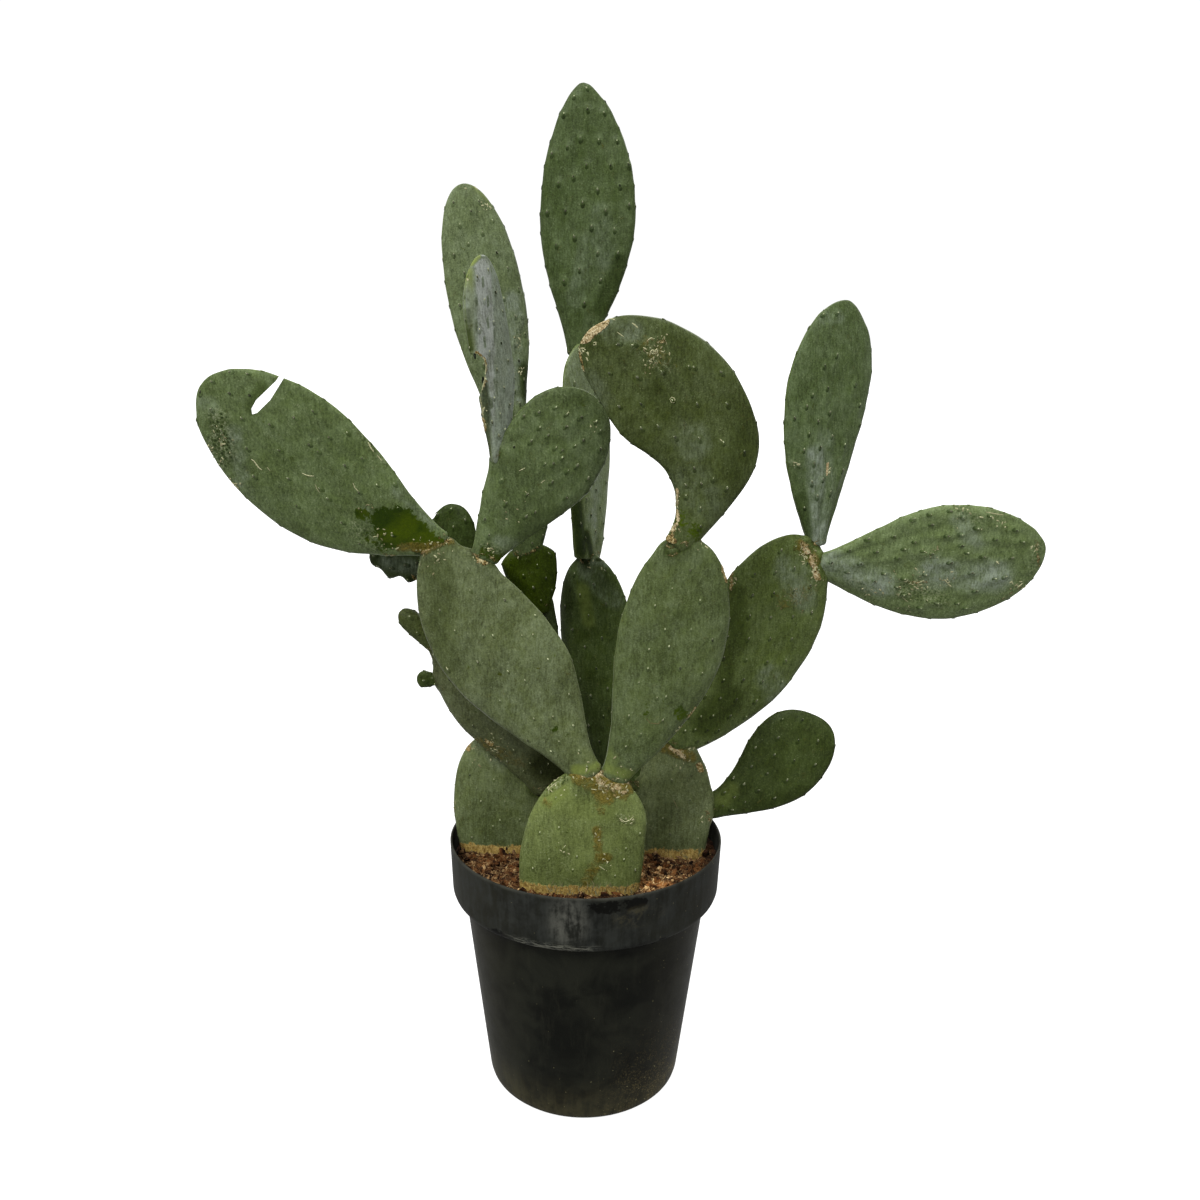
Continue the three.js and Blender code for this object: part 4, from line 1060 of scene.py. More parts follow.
def on_skin(tree, u, v):
    """Place in mm where a pixel of the photograph meets a skin, or the skin's nearest place to it."""
    start, way = Vector(CAMERA_AT) / MM, pixel_way(u, v)
    hit = tree.ray_cast(start, way)[0]
    if hit is None:
        hit = tree.find_nearest(start)[0]
        for _ in range(SKIN_TRIES):
            hit = tree.find_nearest(start + way * (hit - start).dot(way))[0]
    return np.array(hit)


def normal_on(tree, point):
    return np.array(tree.find_nearest(Vector(point))[1])


# ---------------------------------------------------------------- areoles and relief

NET_TURN = math.radians(25)
NET_SPAN = 14
NET_REACH = 0.84
NET_START = 0.06
NET_LENGTH = 0.9
NET_POWER = 1.15
NET_SCATTER = (0.02, 0.004)
EDGE_STEP = 0.8
EDGE_SPAN = (0.1, 0.86)
EDGE_SCATTER = 0.08
TIP_ROOM = 0.02


def seen_areoles(pad, tree):
    """(fraction along, angle, pale) of the areoles that the photograph shows on a pad."""
    spots = []
    for u, v, *pale in AREOLES[pad["name"]]:
        x, y, _ = to_pad(pad, on_skin(tree, u, v))
        t, across = unbent(pad, x, y)
        t = min(max(t, TIP_ROOM), 1 - TIP_ROOM)
        spots.append((t, face_angle(across / half_width_at(pad, t, across)), bool(pale)))
    return spots


def areoles_of(pad, draw, tree):
    """(fraction along, angle, pale) of each areole: a slanted net on the faces and a row on each edge."""
    known = pad["name"] in AREOLES
    spots = seen_areoles(pad, tree) if known else []
    for face in (-1,) if known else (1, -1):
        shift = draw.random(2)
        for i in range(-NET_SPAN, NET_SPAN + 1):
            for j in range(-NET_SPAN, NET_SPAN + 1):
                a, b = (i + shift[0]) * pad["net"], (j + shift[1]) * pad["net"]
                x = a * math.cos(NET_TURN) - b * math.sin(NET_TURN)
                y = face * (a * math.sin(NET_TURN) + b * math.cos(NET_TURN))
                across, along = 2 * x / pad["width"], y / pad["length"] + 0.5
                if abs(across) > NET_REACH or not 0 < along < 1:
                    continue
                across += draw.normal(0, NET_SCATTER[0])
                t = NET_START + NET_LENGTH * along ** NET_POWER + draw.normal(0, NET_SCATTER[1])
                spots.append((t, face * face_angle(across), draw.random() < pad["pale"]))
    start, span = EDGE_SPAN
    for side in (0, np.pi):
        count = max(2, round(EDGE_STEP * pad["length"] / pad["net"]))
        for k in range(count):
            t = start + span * (k + 0.5 + draw.normal(0, EDGE_SCATTER)) / count
            spots.append((t, side, draw.random() < pad["pale"]))
    return np.array(spots, float)


RELIEF_ACROSS = 4.4
RELIEF_UP = 3.8
RELIEF_DOWN = 12.0
RELIEF_NET = 22
EDGE_RELIEF = 0.3
EDGE_ANGLE = 0.1
WAVE_RISE = 0.32
WAVE_START = 25
WAVE_LENGTHS = (13, 19, 16, 9)
FOLD_WAVES, FOLD_SHIFT, FOLD_MEAN = 4.2, 0.6, 0.6
FOLD_REACH, FOLD_START, FOLD_EDGE = 0.34, 0.07, 3
AHEAD_STEP, AHEAD_MOST = 0.01, 0.999


def lift_at(pad, points, net, t, seed):
    """How far the skin stands out from the smooth pad: areoles, folds from the foot, slow waves."""
    lift = np.zeros(len(points))
    scale = pad["net"] / RELIEF_NET
    for centre, up, share in zip(net.heart, net.ahead, net.strong):
        gap = points - centre
        far = gap @ up
        side = np.linalg.norm(gap - far[:, None] * up, axis=1)
        reach = np.where(far > 0, RELIEF_UP, RELIEF_DOWN * pad["trail"]) * scale
        lift += share * pad["relief"] * np.exp(-(far / reach) ** 2 - (side / RELIEF_ACROSS / scale) ** 2)
    x, y, z = points.T
    face = np.sign(z)
    wide, tall, aslant, short = WAVE_LENGTHS
    wave = (np.sin(x / wide + seed) * np.cos(y / tall + 2 * seed)
            + 0.7 * np.sin((x + y) / aslant + 3 * seed + face)
            + 0.5 * np.cos((x - 1.4 * y) / short + seed))
    lift += WAVE_RISE * wave * smooth_step(pad["length"] * t / WAVE_START)
    width = np.maximum(half_width(pad, t, 1), 1)
    fold = np.abs(np.sin(FOLD_WAVES * x / width + FOLD_SHIFT * seed + face)) - FOLD_MEAN
    fade = np.exp(-(t / FOLD_REACH) ** 2) * smooth_step(t / FOLD_START) * smooth_step(np.abs(z) / FOLD_EDGE)
    return lift + pad["ribs"] * fold * fade


def net_of(pad, spots, seed):
    """Places and ways of the areoles on the smooth pad, in its frame."""
    t, angle = spots[:, 0], spots[:, 1]
    net = SimpleNamespace(heart=on_section(pad, t, angle), normal=normal_at(pad, t, angle), pale=spots[:, 2])
    net.ahead = unit(on_section(pad, np.minimum(t + AHEAD_STEP, AHEAD_MOST), angle) - net.heart)
    net.strong = np.where(np.abs(np.sin(angle)) < EDGE_ANGLE, EDGE_RELIEF, 1)
    net.lift = lift_at(pad, net.heart, net, t, seed)
    return net


# ---------------------------------------------------------------- notches, marks and joints

CUT_REACH = 1.5


def cutter(pad):
    """Prism through a pad's whole thickness, from an outline in the pad's own frame."""
    outline = list(pad["cut"])
    turns = zip(outline, outline[1:] + outline[:1])
    if sum(x1 * y2 - x2 * y1 for (x1, y1), (x2, y2) in turns) < 0:
        outline.reverse()
    count = len(outline)
    # its walls run along the view from the camera, which sees the notch from end to end
    middle = np.array([*np.mean(outline, axis=0), 0])
    slope = (np.array(CAMERA_AT) / MM - pad["at"]) @ basis_of(pad) - middle
    slope = slope[:2] / slope[2]
    points = [(x + z * slope[0], y + z * slope[1], z)
              for z in (-CUT_REACH * pad["thick"], CUT_REACH * pad["thick"]) for x, y in outline]
    faces = [range(count)[::-1], range(count, 2 * count)]
    for k in range(count):
        n = (k + 1) % count
        faces.append((k, n, n + count, k + count))
    shape = Shape()
    shape.add(points, faces)
    return shape.build("cutter")


def cut_skin(pad, points, faces):
    """The skin with its notch cut out."""
    shape = Shape()
    shape.add(points, faces)
    obj = shape.build("skin")
    carve(obj, cutter(pad))
    points = np.array([v.co for v in obj.data.vertices]) / MM
    faces = [list(f.vertices) for f in obj.data.polygons]
    bpy.data.objects.remove(obj)
    return points, faces


def normals_of(points, faces):
    mesh = bpy.data.meshes.new("normals")
    mesh.from_pydata(points.tolist(), [], faces)
    normals = np.array([v.normal for v in mesh.vertices])
    bpy.data.meshes.remove(mesh)
    return normals


MARK_REACH = 1.5


def marks_on(name, kind, world, tree):
    """Strength of one kind of mark at each point: full to half its radius, none past 1.5 of it."""
    mark = np.zeros(len(world))
    for u1, v1, u2, v2, radius, strength in MARKS[kind].get(name, ()):
        gap = to_segment(world, on_skin(tree, u1, v1), on_skin(tree, u2, v2))
        mark = np.maximum(mark, strength * smooth_step(MARK_REACH - gap / radius))
    return mark


JOINT_SWELL = 2.6
JOINT_REACH = 6.5
FOOT_CORK = (2.2, 0.55)
PARENT_CORK = (3.6, 0.62)
CORK_FULL = 1.2
MUD_LOW, MUD_HIGH = 242, 256
MUD_SHARE = {"base_front": 1, "base_left": 0.9, "base_right": 0.72}
CREASE_DEPTH = 0.75
CREASE_OUT = 0.6
CREASE_REACH = 1.7


def foot_gap(pad, points):
    """Distance of points in the row frame from the joint at a pad's foot."""
    at, half = np.array(pad["at"], float), pad["thick"] * THIN_FOOT / 2
    arm = basis_of(pad)[:, 0] * (pad["foot"] / 2 - half)
    return to_segment(points, at - arm, at + arm) - half


def at_joints(pad, points, strength):
    """The strongest of strength(distance) over the feet of the pads that grow from a pad."""
    most = np.zeros(len(points))
    for name in JOINTS.get(pad["name"], ()):
        most = np.maximum(most, strength(foot_gap(BY_NAME[name], points)))
    return most


def joint_cork(pad, world):
    """Cork where a pad meets its foot's joint and the feet of the pads on it."""
    def cork(gap, reach, strength):
        return strength * smooth_step(CORK_FULL - np.abs(gap) / reach)

    grown = at_joints(pad, world, lambda gap: cork(gap, *PARENT_CORK))
    if pad["name"].startswith("base"):
        return grown
    return np.maximum(cork(foot_gap(pad, world), *FOOT_CORK), grown)


def joint_crease_shade(pad, world):
    """Painted shade on a pad's skin in the crease round the feet of the pads on it."""
    return at_joints(pad, world, lambda gap: CREASE_DEPTH * np.exp(-((gap - CREASE_OUT) / CREASE_REACH) ** 2))


def joint_swell(pad, world):
    """A pad's edge thickens round the feet of the pads on it."""
    return at_joints(pad, world, lambda gap: JOINT_SWELL * np.exp(-np.clip(gap / JOINT_REACH, 0, None) ** 2))


# ---------------------------------------------------------------- cushions, spines, scars

SKIN, FELT, SPINE, SCAR = range(4)
DOME_SIDES = 8
# rings of (reach, height)
CUSHION = ((1.0, -0.4), (1.0, 0.15), (0.62, 0.55), (0, 0.72))
MOUND = ((1.0, -0.1), (0.78, 0.08), (0.5, 0.5), (0.25, 0.87), (0, 1.0))
OVAL = 1.35
MOUND_WIDE = 0.8
MOUND_DOWN = 0.45
# painted shadow under each hump and painted light on its upper side
MOUND_PAINTED_SHADOW, MOUND_PAINTED_SHADOW_LEAST, MOUND_PAINTED_LIGHT = (0.4, -0.6), 0.05, (0.15, 0.5)


def frame_on(normal, along):
    """Two directions in the skin at a normal, the second as near to along as it goes."""
    up = along - normal * (along @ normal)
    up /= np.linalg.norm(up)
    return np.cross(up, normal), up


def dome(profile, centre, side, up, normal):
    """Points and faces of a closed cap: a flat bottom, then rings that end in a point."""
    points = []
    for reach, height in profile[:-1]:
        for k in range(DOME_SIDES):
            a = 2 * math.pi * k / DOME_SIDES
            points.append(centre + side * reach * math.cos(a) + up * reach * math.sin(a) + normal * height)
    points.append(centre + normal * profile[-1][1])
    faces = []
    for k in range(DOME_SIDES):
        n = (k + 1) % DOME_SIDES
        for ring in range(len(profile) - 2):
            a, b = ring * DOME_SIDES, (ring + 1) * DOME_SIDES
            faces.append((a + k, a + n, b + n, b + k))
        faces.append((b + k, b + n, len(points) - 1))
    return np.array(points), faces + [range(DOME_SIDES)[::-1]]


def add_cushion(shape, centre, axes, radius, shade, local, paint=FELT):
    """Low oval dome of felt or of cork."""
    side, up, normal = axes
    points, faces = dome(CUSHION, centre, side * radius, up * OVAL * radius, normal * radius)
    shape.add(points, faces, paint, local=points * MM + local, form=(shade, 0, 0))


def add_mound(shape, centre, axes, size, height, shadow, skin, local):
    """The hump of skin that an areole stands on, longer towards the foot, with painted shadow under it and
    painted light on its upper side.
    """
    side, up, normal = axes
    middle = centre - up * MOUND_DOWN * size
    points, faces = dome(MOUND, middle, side * MOUND_WIDE * size, up * OVAL * size, normal * height)
    rise = (points - centre) @ up / size
    form = np.tile(skin["form"], (len(points), 1))
    # painted shadow below the areole, painted light above it
    form[:, 1] = shadow * np.clip(at_share(MOUND_PAINTED_SHADOW, rise), MOUND_PAINTED_SHADOW_LEAST, 1)
    form[:, 2] = np.clip(form[:, 2] + shadow * at_share(MOUND_PAINTED_LIGHT, rise), 0, 1)
    shape.add(points, faces, SKIN, **{**skin, "local": points * MM + local, "form": form})


SPINE_SIDES = 3
SPINE_RINGS = ((-0.15, 1.0), (0.45, 0.75))
SPINE_BEND = 0.08
SPINE_ASIDE = (0.3, 0.5, 0.81)


def add_spine(shape, root, way, length, radius, local):
    """Slim spine, bent a little, with its root sunk in."""
    side = np.cross(way, SPINE_ASIDE)
    side /= np.linalg.norm(side)
    other = np.cross(way, side)
    points, form = [], []
    for share, girth in SPINE_RINGS:
        for k in range(SPINE_SIDES):
            a = 2 * math.pi * k / SPINE_SIDES
            out = side * math.cos(a) + other * math.sin(a)
            points.append(root + way * length * share + radius * girth * out)
            form.append((max(share, 0), 0, 0))
    points.append(root + way * length + side * length * SPINE_BEND)
    form.append((1, 0, 0))
    faces = [(0, 2, 1)]
    for k in range(SPINE_SIDES):
        n = (k + 1) % SPINE_SIDES
        a, b = SPINE_SIDES + k, SPINE_SIDES + n
        faces += [(k, n, b, a), (a, b, 2 * SPINE_SIDES)]
    shape.add(points, faces, SPINE, local=np.asarray(points) * MM + local, form=form)


SCAR_STEP = 1.1
SCAR_RISE = 0.8
SCAR_ENDS, SCAR_FULL = 0.25, 0.6
SCAR_UNEVEN, SCAR_WAVE = 0.25, 2.1


def add_scar(shape, tree, pixels, width, shade, local):
    """Low ridge on the skin along a line of the photograph's pixels, thin at its ends."""
    pixels = np.array(pixels, float)
    run = run_of(pixels)
    count = max(4, round(run[-1] / SCAR_STEP))
    places = np.linspace(0, run[-1], count + 1)
    line = np.array([on_skin(tree, np.interp(s, run, pixels[:, 0]), np.interp(s, run, pixels[:, 1]))
                     for s in places])
    normals = np.array([normal_on(tree, point) for point in line])
    side = unit(np.cross(np.gradient(line, axis=0), normals), 1e-9)
    girth = width / 2 * (np.sin(np.linspace(SCAR_ENDS, np.pi - SCAR_ENDS, count + 1)) ** SCAR_FULL)
    girth = (girth * (1 + SCAR_UNEVEN * np.sin(places * SCAR_WAVE + run[-1])))[:, None]
    corners = np.stack([line + side * girth, line + normals * girth * SCAR_RISE, line - side * girth,
                        line - normals * girth], 1)
    points = tube(corners, line)
    shape.add(points, grid_faces(count + 1, 4), SCAR, local=points * MM + local, form=(shade, 0, 0))


FLAKE_SIZE = (0.3, 0.85)
FLAKE_LONG = (0.7, 2.2)
FLAKE_HIGH = 0.8


def add_flakes(shape, tree, name, draw, local):
    """Bits of cork scattered round places that the photograph shows."""
    for u, v, spread, count, low, high in FLAKES.get(name, ()):
        for du, dv in draw.normal(0, spread, (count, 2)):
            point = on_skin(tree, u + du, v + dv)
            normal = normal_on(tree, point)
            side, along = frame_on(normal, draw.normal(0, 1, 3))
            along = along * draw.uniform(*FLAKE_LONG)
            size, shade = draw.uniform(*FLAKE_SIZE), draw.uniform(low, high)
            add_cushion(shape, point, (side, along, normal * FLAKE_HIGH), size, shade, local, SCAR)


STRAND_RISE = (-8, -2)
STRAND_WIDTH = (0.35, 0.7)
STRAND_SHADE = (0.1, 0.55)


def add_strands(shape, tree, name, draw, local):
    """Dried strands that stand up the skin from the soil."""
    left, right, high, low, count = STRANDS.get(name, (0, 0, 0, 0, 0))
    for _ in range(count):
        u, v = draw.uniform(left, right), draw.uniform(high, low)
        du, dv = draw.normal(0, 2), draw.uniform(*STRAND_RISE)
        line = [(u, v), (u + du / 2 + draw.normal(0, 1), v + dv / 2), (u + du, v + dv)]
        add_scar(shape, tree, line, draw.uniform(*STRAND_WIDTH), draw.uniform(*STRAND_SHADE), local)


# Pairs are a least and a range above it. Areoles on an edge are smaller than those on a face.
HUMP_SIZE, HUMP_SPREAD, HUMP_HEIGHT, HUMP_SHADOW = (1.9, 0.7), (0.8, 0.4), (0.2, 0.38), (0.2, 0.45)
HUMP_DARKEST = 0.8
HUMP_ON_EDGE, HEIGHT_ON_EDGE, FELT_ON_EDGE = 1.4, 0.25, 0.65
FELT_SPREAD = (0.75, 0.5)
FELT_SUNK = 0.7
PALE_FELT, PALE_SHADE, PALE_SPINE = 0.6, (0.45, 0.55), (1.0, 1.4)
DARK_FELT, DARK_SHADE, DARK_SPINE = 0.9, (0, 0.25), (1.4, 1.4)
GLINT_SHARE, GLINT_LIFT = 0.75, 0.1
GLINT_SIDE, GLINT_UP, GLINT_RADIUS, GLINT_SHADE = (-0.7, 1.1), (0.9, 0.5), (0.35, 0.25), (0.35, 0.4)
SPINES_MOST = 1.7
SPINE_RADIUS, SPINE_LIFT = 0.25, 0.2
SPINE_TILT, SPINE_UP = 0.45, 0.35


def add_areole(shape, centre, axes, pale, share, relief, skin, draw, dice, local):
    """Hump, felt and spines of one areole. share is 1 on a face and less on an edge."""
    side, along, normal = axes
    on_face = share == 1
    size = (at_share(HUMP_SIZE, min(relief, 1)) if on_face else HUMP_ON_EDGE) * at_share(HUMP_SPREAD, dice[0])
    height = at_share(HUMP_HEIGHT, relief) * (1 if on_face else HEIGHT_ON_EDGE)
    shadow = min(at_share(HUMP_SHADOW, relief), HUMP_DARKEST)
    add_mound(shape, centre, axes, size, height, shadow, skin, local)
    top = centre + normal * FELT_SUNK * height
    felt, shade, length = (PALE_FELT, PALE_SHADE, PALE_SPINE) if pale else (DARK_FELT, DARK_SHADE, DARK_SPINE)
    radius = felt * at_share(FELT_SPREAD, dice[1]) * (1 if on_face else FELT_ON_EDGE)
    add_cushion(shape, top, axes, radius, at_share(shade, dice[2]), local)
    if not pale and dice[7] < GLINT_SHARE:
        glint = top + side * at_share(GLINT_SIDE, dice[4]) + along * at_share(GLINT_UP, dice[5])
        radius, shade = at_share(GLINT_RADIUS, dice[6]), at_share(GLINT_SHADE, dice[2])
        add_cushion(shape, glint + normal * GLINT_LIFT, axes, radius, shade, local)
    for _ in range(int(dice[3] * SPINES_MOST * share)):
        lean = draw.normal(0, SPINE_TILT, 2)
        way = normal + side * lean[0] + along * (lean[1] + SPINE_UP)
        way /= np.linalg.norm(way)
        foot = top + normal * SPINE_LIFT
        add_spine(shape, foot, way, at_share(length, draw.random()), SPINE_RADIUS, local)


# ---------------------------------------------------------------- whole pads

HALO_REACH = 3.2
HALO_DARK = (0.05, 0.35)
BLOOM_SHARE, CREASE_BARE = 0.55, 1.4
BARK_RISE, BARK_LEVEL, BARK_SIZE, BARK_SEED = 0.8, 0.55, 3, 3
RIDGE_MIDDLE, RIDGE_SPREAD, RIDGE_FLAT = 0.5, 0.4, 0.5
PAD_SEEDS = (0.4, 1.7)
LOCAL_SHIFT = np.array([0.31, 0.17, 0.23])
BURIED_ROOM, BURIED_PROBE = 3, 2
TORN_OFF = 1.5
PAD_SHARP = 55


def skin_values(pad, points, world, normals, tree, net, cork, painted_relief_light):
    """What the skin's material reads at each point, three numbers to a name."""
    marks = {kind: marks_on(pad["name"], kind, world, tree) for kind in MARKS if kind != "cork"}
    # painted shade from the marks and in the creases round joints
    painted_shade_and_dark_dashes = np.maximum(marks["painted_shade_and_dark_dashes"], joint_crease_shade(pad, world))
    mud = MUD_SHARE.get(pad["name"], 0) * smooth_step((MUD_HIGH - world[:, 2]) / (MUD_HIGH - MUD_LOW))
    near = np.full(len(points), 1e3)
    for centre in net.heart:
        near = np.minimum(near, np.linalg.norm(points - centre, axis=1))
    areole_ring_and_painted_shadow = np.exp(-(near / HALO_REACH) ** 2) * at_share(HALO_DARK, 1 - pad["pale"])
    bloom = np.clip(pad["bloom"] + BLOOM_SHARE * marks["bloom"], 0, 2)
    bloom = bloom * (1 - np.clip(CREASE_BARE * painted_shade_and_dark_dashes, 0, 1)) * (1 - marks["fresh_green_and_painted_light"])
    return dict(look=np.tile([pad["tone"], pad["red"], pad["blue"]], (len(points), 1)),
                marks=np.column_stack([cork, marks["stain"], marks["wet"]]),
                wear=np.column_stack([marks["scab"], marks["callus"], mud]),
                form=np.column_stack([(1 - np.abs(normals[:, 2])) ** 2, areole_ring_and_painted_shadow, painted_relief_light]),
                film=np.column_stack([bloom, marks["fresh_green_and_painted_light"], painted_shade_and_dark_dashes]))


def dress_areoles(shape, pad, net, tree, world, skin, draw, local):
    """Every areole that isn't torn off, under the soil or inside another pad."""
    skin_tree = tree_of(world)
    basis = basis_of(pad)
    centres = to_row(pad, net.heart + net.normal * net.lift[:, None])
    normals, ups = net.normal @ basis.T, net.ahead @ basis.T
    for centre, normal, up, pale, share in zip(centres, normals, ups, net.pale, net.strong):
        if tree.find_nearest(Vector(centre))[3] >= TORN_OFF:
            continue
        dice = draw.random(8)
        point = centre + normal * BURIED_PROBE
        if point[2] < SOIL_Z + BURIED_ROOM or any(inside(p, point) for p in EVERY_PAD if p is not pad):
            continue
        found = skin_tree.find(centre)[1]
        here = {key: rows[found] for key, rows in skin.items()}
        axes = (*frame_on(normal, up), normal)
        add_areole(shape, centre, axes, pale, share, pad["relief"], here, draw, dice, local)


def build_pad(pad, index, materials):
    name = pad["name"]
    draw = np.random.default_rng(SEED + index)
    seed = at_share(PAD_SEEDS, index)
    rows, columns = rows_of(pad), columns_of(pad)
    t, angle = (a.ravel() for a in np.meshgrid(rows, columns, indexing="ij"))
    smooth = on_section(pad, t, angle)
    poles = np.concatenate([bent(pad, np.array([k]), np.zeros(1), np.zeros(1)) for k in (1.0, rows[0])])
    faces = grid_faces(len(rows), len(columns), turned=True)
    tree = BVHTree.FromPolygons(to_row(pad, np.concatenate([smooth, poles])).tolist(), faces)
    net = net_of(pad, areoles_of(pad, draw, tree), seed)

    lift = lift_at(pad, smooth, net, t, seed)
    # how far the skin stands out, used for painted light on raised parts and painted shade in hollows
    most = RIDGE_FLAT + pad["relief"] + pad["ribs"]
    painted_relief_light = np.clip(RIDGE_MIDDLE + RIDGE_SPREAD * (lift - np.median(lift)) / most, 0, 1)
    lift += joint_swell(pad, to_row(pad, smooth))
    points = np.concatenate([smooth + normal_at(pad, t, angle) * lift[:, None], poles])
    if pad["cut"]:
        points, faces = cut_skin(pad, points, faces)
    smooth_tree = tree_of(smooth)
    painted_relief_light = painted_relief_light[[smooth_tree.find(point)[1] for point in points]]

    world = to_row(pad, points)
    tree = BVHTree.FromPolygons(world.tolist(), faces)
    normals = normals_of(points, faces)
    cork = np.maximum(marks_on(name, "cork", world, tree), joint_cork(pad, world))
    bark = cork * (BARK_LEVEL + grains(world, BARK_SIZE, BARK_SEED + index))
    world += normals @ basis_of(pad).T * (BARK_RISE * bark)[:, None]
    skin = skin_values(pad, points, world, normals, tree, net, cork, painted_relief_light)
    local = LOCAL_SHIFT * index
    shape = Shape()
    shape.add(world, faces, SKIN, local=points * MM + local, **skin)
    dress_areoles(shape, pad, net, tree, world, skin, draw, local)
    for width, shade, *line in SCARS.get(name, ()):
        add_scar(shape, tree, line, width, shade, local)
    add_flakes(shape, tree, name, draw, local)
    add_strands(shape, tree, name, draw, local)
    obj = shape.build("cactus_" + name, materials)
    finish_piece(obj, "pad_" + name, PAD_SHARP)


# ---------------------------------------------------------------- pot

POT_SIDES = 240
POT_STEP = 9
POT_SHARP = 38
SEAM_AT = (-91.2, 88.8)
SEAM_WIDE = 0.5
SEAM_RISE = 0.3
SEAM_FOOT, SEAM_FADE = 8, 6
CORNER = 0.28
CORNER_MOST = 1.2
CORNER_STEPS = (0, 0.33, 0.67, 1)
OUT_OF_ROUND, ROUND_PHASE, ROUND_FADE = 0.0012, 0.6, 60
HOLE_SIDES = 32


def eased(profile):
    """A profile with each corner cut into a small round."""
    profile = [np.array(p, float) for p in profile]
    points = [profile[0]]
    for before, here, after in zip(profile, profile[1:], profile[2:]):
        a, b = (here + (end - here) * min(CORNER, CORNER_MOST / np.linalg.norm(end - here))
                for end in (before, after))
        points += [(1 - s) ** 2 * a + 2 * s * (1 - s) * here + s * s * b for s in CORNER_STEPS]
    return points + [profile[-1]]


def split_long(points):
    result = [points[0]]
    for a, b in zip(points, points[1:]):
        count = max(1, round(np.linalg.norm(b - a) / POT_STEP))
        result += [a + (b - a) * (k + 1) / count for k in range(count)]
    return result


def build_pot():
    profile = np.array(split_long(eased([(1, 0), *POT_OUTSIDE, *POT_INSIDE, (1, FLOOR)])))
    angle = np.linspace(0, 2 * np.pi, POT_SIDES, endpoint=False)
    r = profile[:, 0][:, None] * np.ones(POT_SIDES)
    z = profile[:, 1][:, None] * np.ones(POT_SIDES)
    outer = (np.arange(len(profile)) < np.argmax(profile[:, 1]))[:, None]
    for seam in SEAM_AT:
        gap = np.degrees(np.abs(np.angle(np.exp(1j * (angle - math.radians(seam))))))
        r = r + outer * SEAM_RISE * np.exp(-(gap / SEAM_WIDE) ** 2) * smooth_step((z - SEAM_FOOT) / SEAM_FADE)
    r = r * (1 + OUT_OF_ROUND * np.sin(2 * angle + ROUND_PHASE) * smooth_step(z / ROUND_FADE))
    points = np.stack([r * np.cos(angle), r * np.sin(angle), z], -1).reshape(-1, 3)
    points = np.concatenate([points, [[0, 0, FLOOR], [0, 0, 0]]])
    shape = Shape()
    shape.add(points, grid_faces(len(profile), POT_SIDES))
    pot = shape.build("pot_shell", [pot_material()])
    for k in range(HOLE_COUNT):
        a = 2 * math.pi * (k + 0.5) / HOLE_COUNT
        place = (HOLE_RING_R * MM * math.cos(a), HOLE_RING_R * MM * math.sin(a), 0)
        bpy.ops.mesh.primitive_cylinder_add(vertices=HOLE_SIDES, radius=HOLE_R * MM, depth=4 * FLOOR * MM,
                                            location=place)
        carve(pot, bpy.context.object)
    finish_piece(pot, "pot", POT_SHARP)


def paint_collar(p, n, place, x, z):
    """Film on the collar, a pale smudge that is partly a painted highlight, wet soil washed over the rim, a
    scratched lower edge and a painted highlight along the top of the rim.
    """
    collar = p.step(z, 0.2, 0.212)
    film = p.plus(p.swing(n.blots, 0.9), p.swing(n.smears, 0.8), 0.5)
    p.coat(p.times(collar, p.step(film, 0.3, 0.75, 0.15, 0.85)), "#30322f")
    # pale smudge at the front, partly a painted highlight
    pale_smudge_and_highlight = p.times(p.spot(place, (-14, -133, 238), (24, 20, 36)), p.step(film, 0.35, 0.7))
    p.coat(p.times(pale_smudge_and_highlight, 0.75), "#5a5a52")
    spill = p.most(*(p.spot(place, centre, radii) for centre, radii in (
        ((20, -133, 253), (26, 20, 11)), ((44, -128, 254), (24, 20, 10)),
        ((-77, -105, 206), (22, 30, 14)), ((72, -112, 203), (16, 30, 12)))))
    ragged = p.plus(p.swing(n.crumbs, 2.4), p.swing(n.blots, 2.6))
    soaked = p.step(p.plus(p.times(spill, 1.1), ragged), 0.74, 0.82)
    p.coat(p.times(soaked, p.step(spill, 0.02, 0.2), 0.9), "#080806")
    tan = p.times(p.spot(place, (48, -122, 240), (34, 30, 14)), p.step(n.blots, 0.45, 0.62))
    p.coat(p.times(tan, 0.55), "#48432f")
    hatch = p.noise(p.stretched(place, (0.3, 1, 3)), 4, 5, 0.75)
    p.coat(p.times(p.step(z, 0.203, 0.207), p.step(z, 0.217, 0.211), p.step(x, -0.08, -0.05),
                   p.step(x, 0.02, 0.0), p.step(hatch, 0.5, 0.56), 0.75), "#76766a")
    # painted highlight: a lighter band along the top of the rim
    p.coat(p.times(p.step(z, 0.2585, 0.2612), p.step(n.clouds, 0.4, 0.6, 0.2, 0.8)), "#3d3d36")
    return collar, film


def paint_dirt(p, n, place, x, z, film):
    """Dust near the ground, splashed dirt on the right and pale dots."""
    p.coat(p.times(p.step(z, 0.06, 0.0), p.step(film, 0.3, 0.65, 0.3, 1), 0.55), "#4e4a34")
    p.coat(p.times(p.step(x, 0.0, 0.09), p.step(z, 0.12, 0.0), p.step(n.specks, 0.5, 0.62),
                   p.step(n.blots, 0.35, 0.6), 0.7), "#786b48")
    dusty = p.plus(p.times(p.step(z, 0.11, 0.0), 0.035), p.step(x, -0.02, 0.1, 0, 0.03))
    dots = p.math("GREATER_THAN", p.noise(place, 2.4, 1, 0.5), p.step(dusty, 0, 0.065, 0.82, 0.705))
    p.coat(p.times(dots, 0.6), "#8e8862")


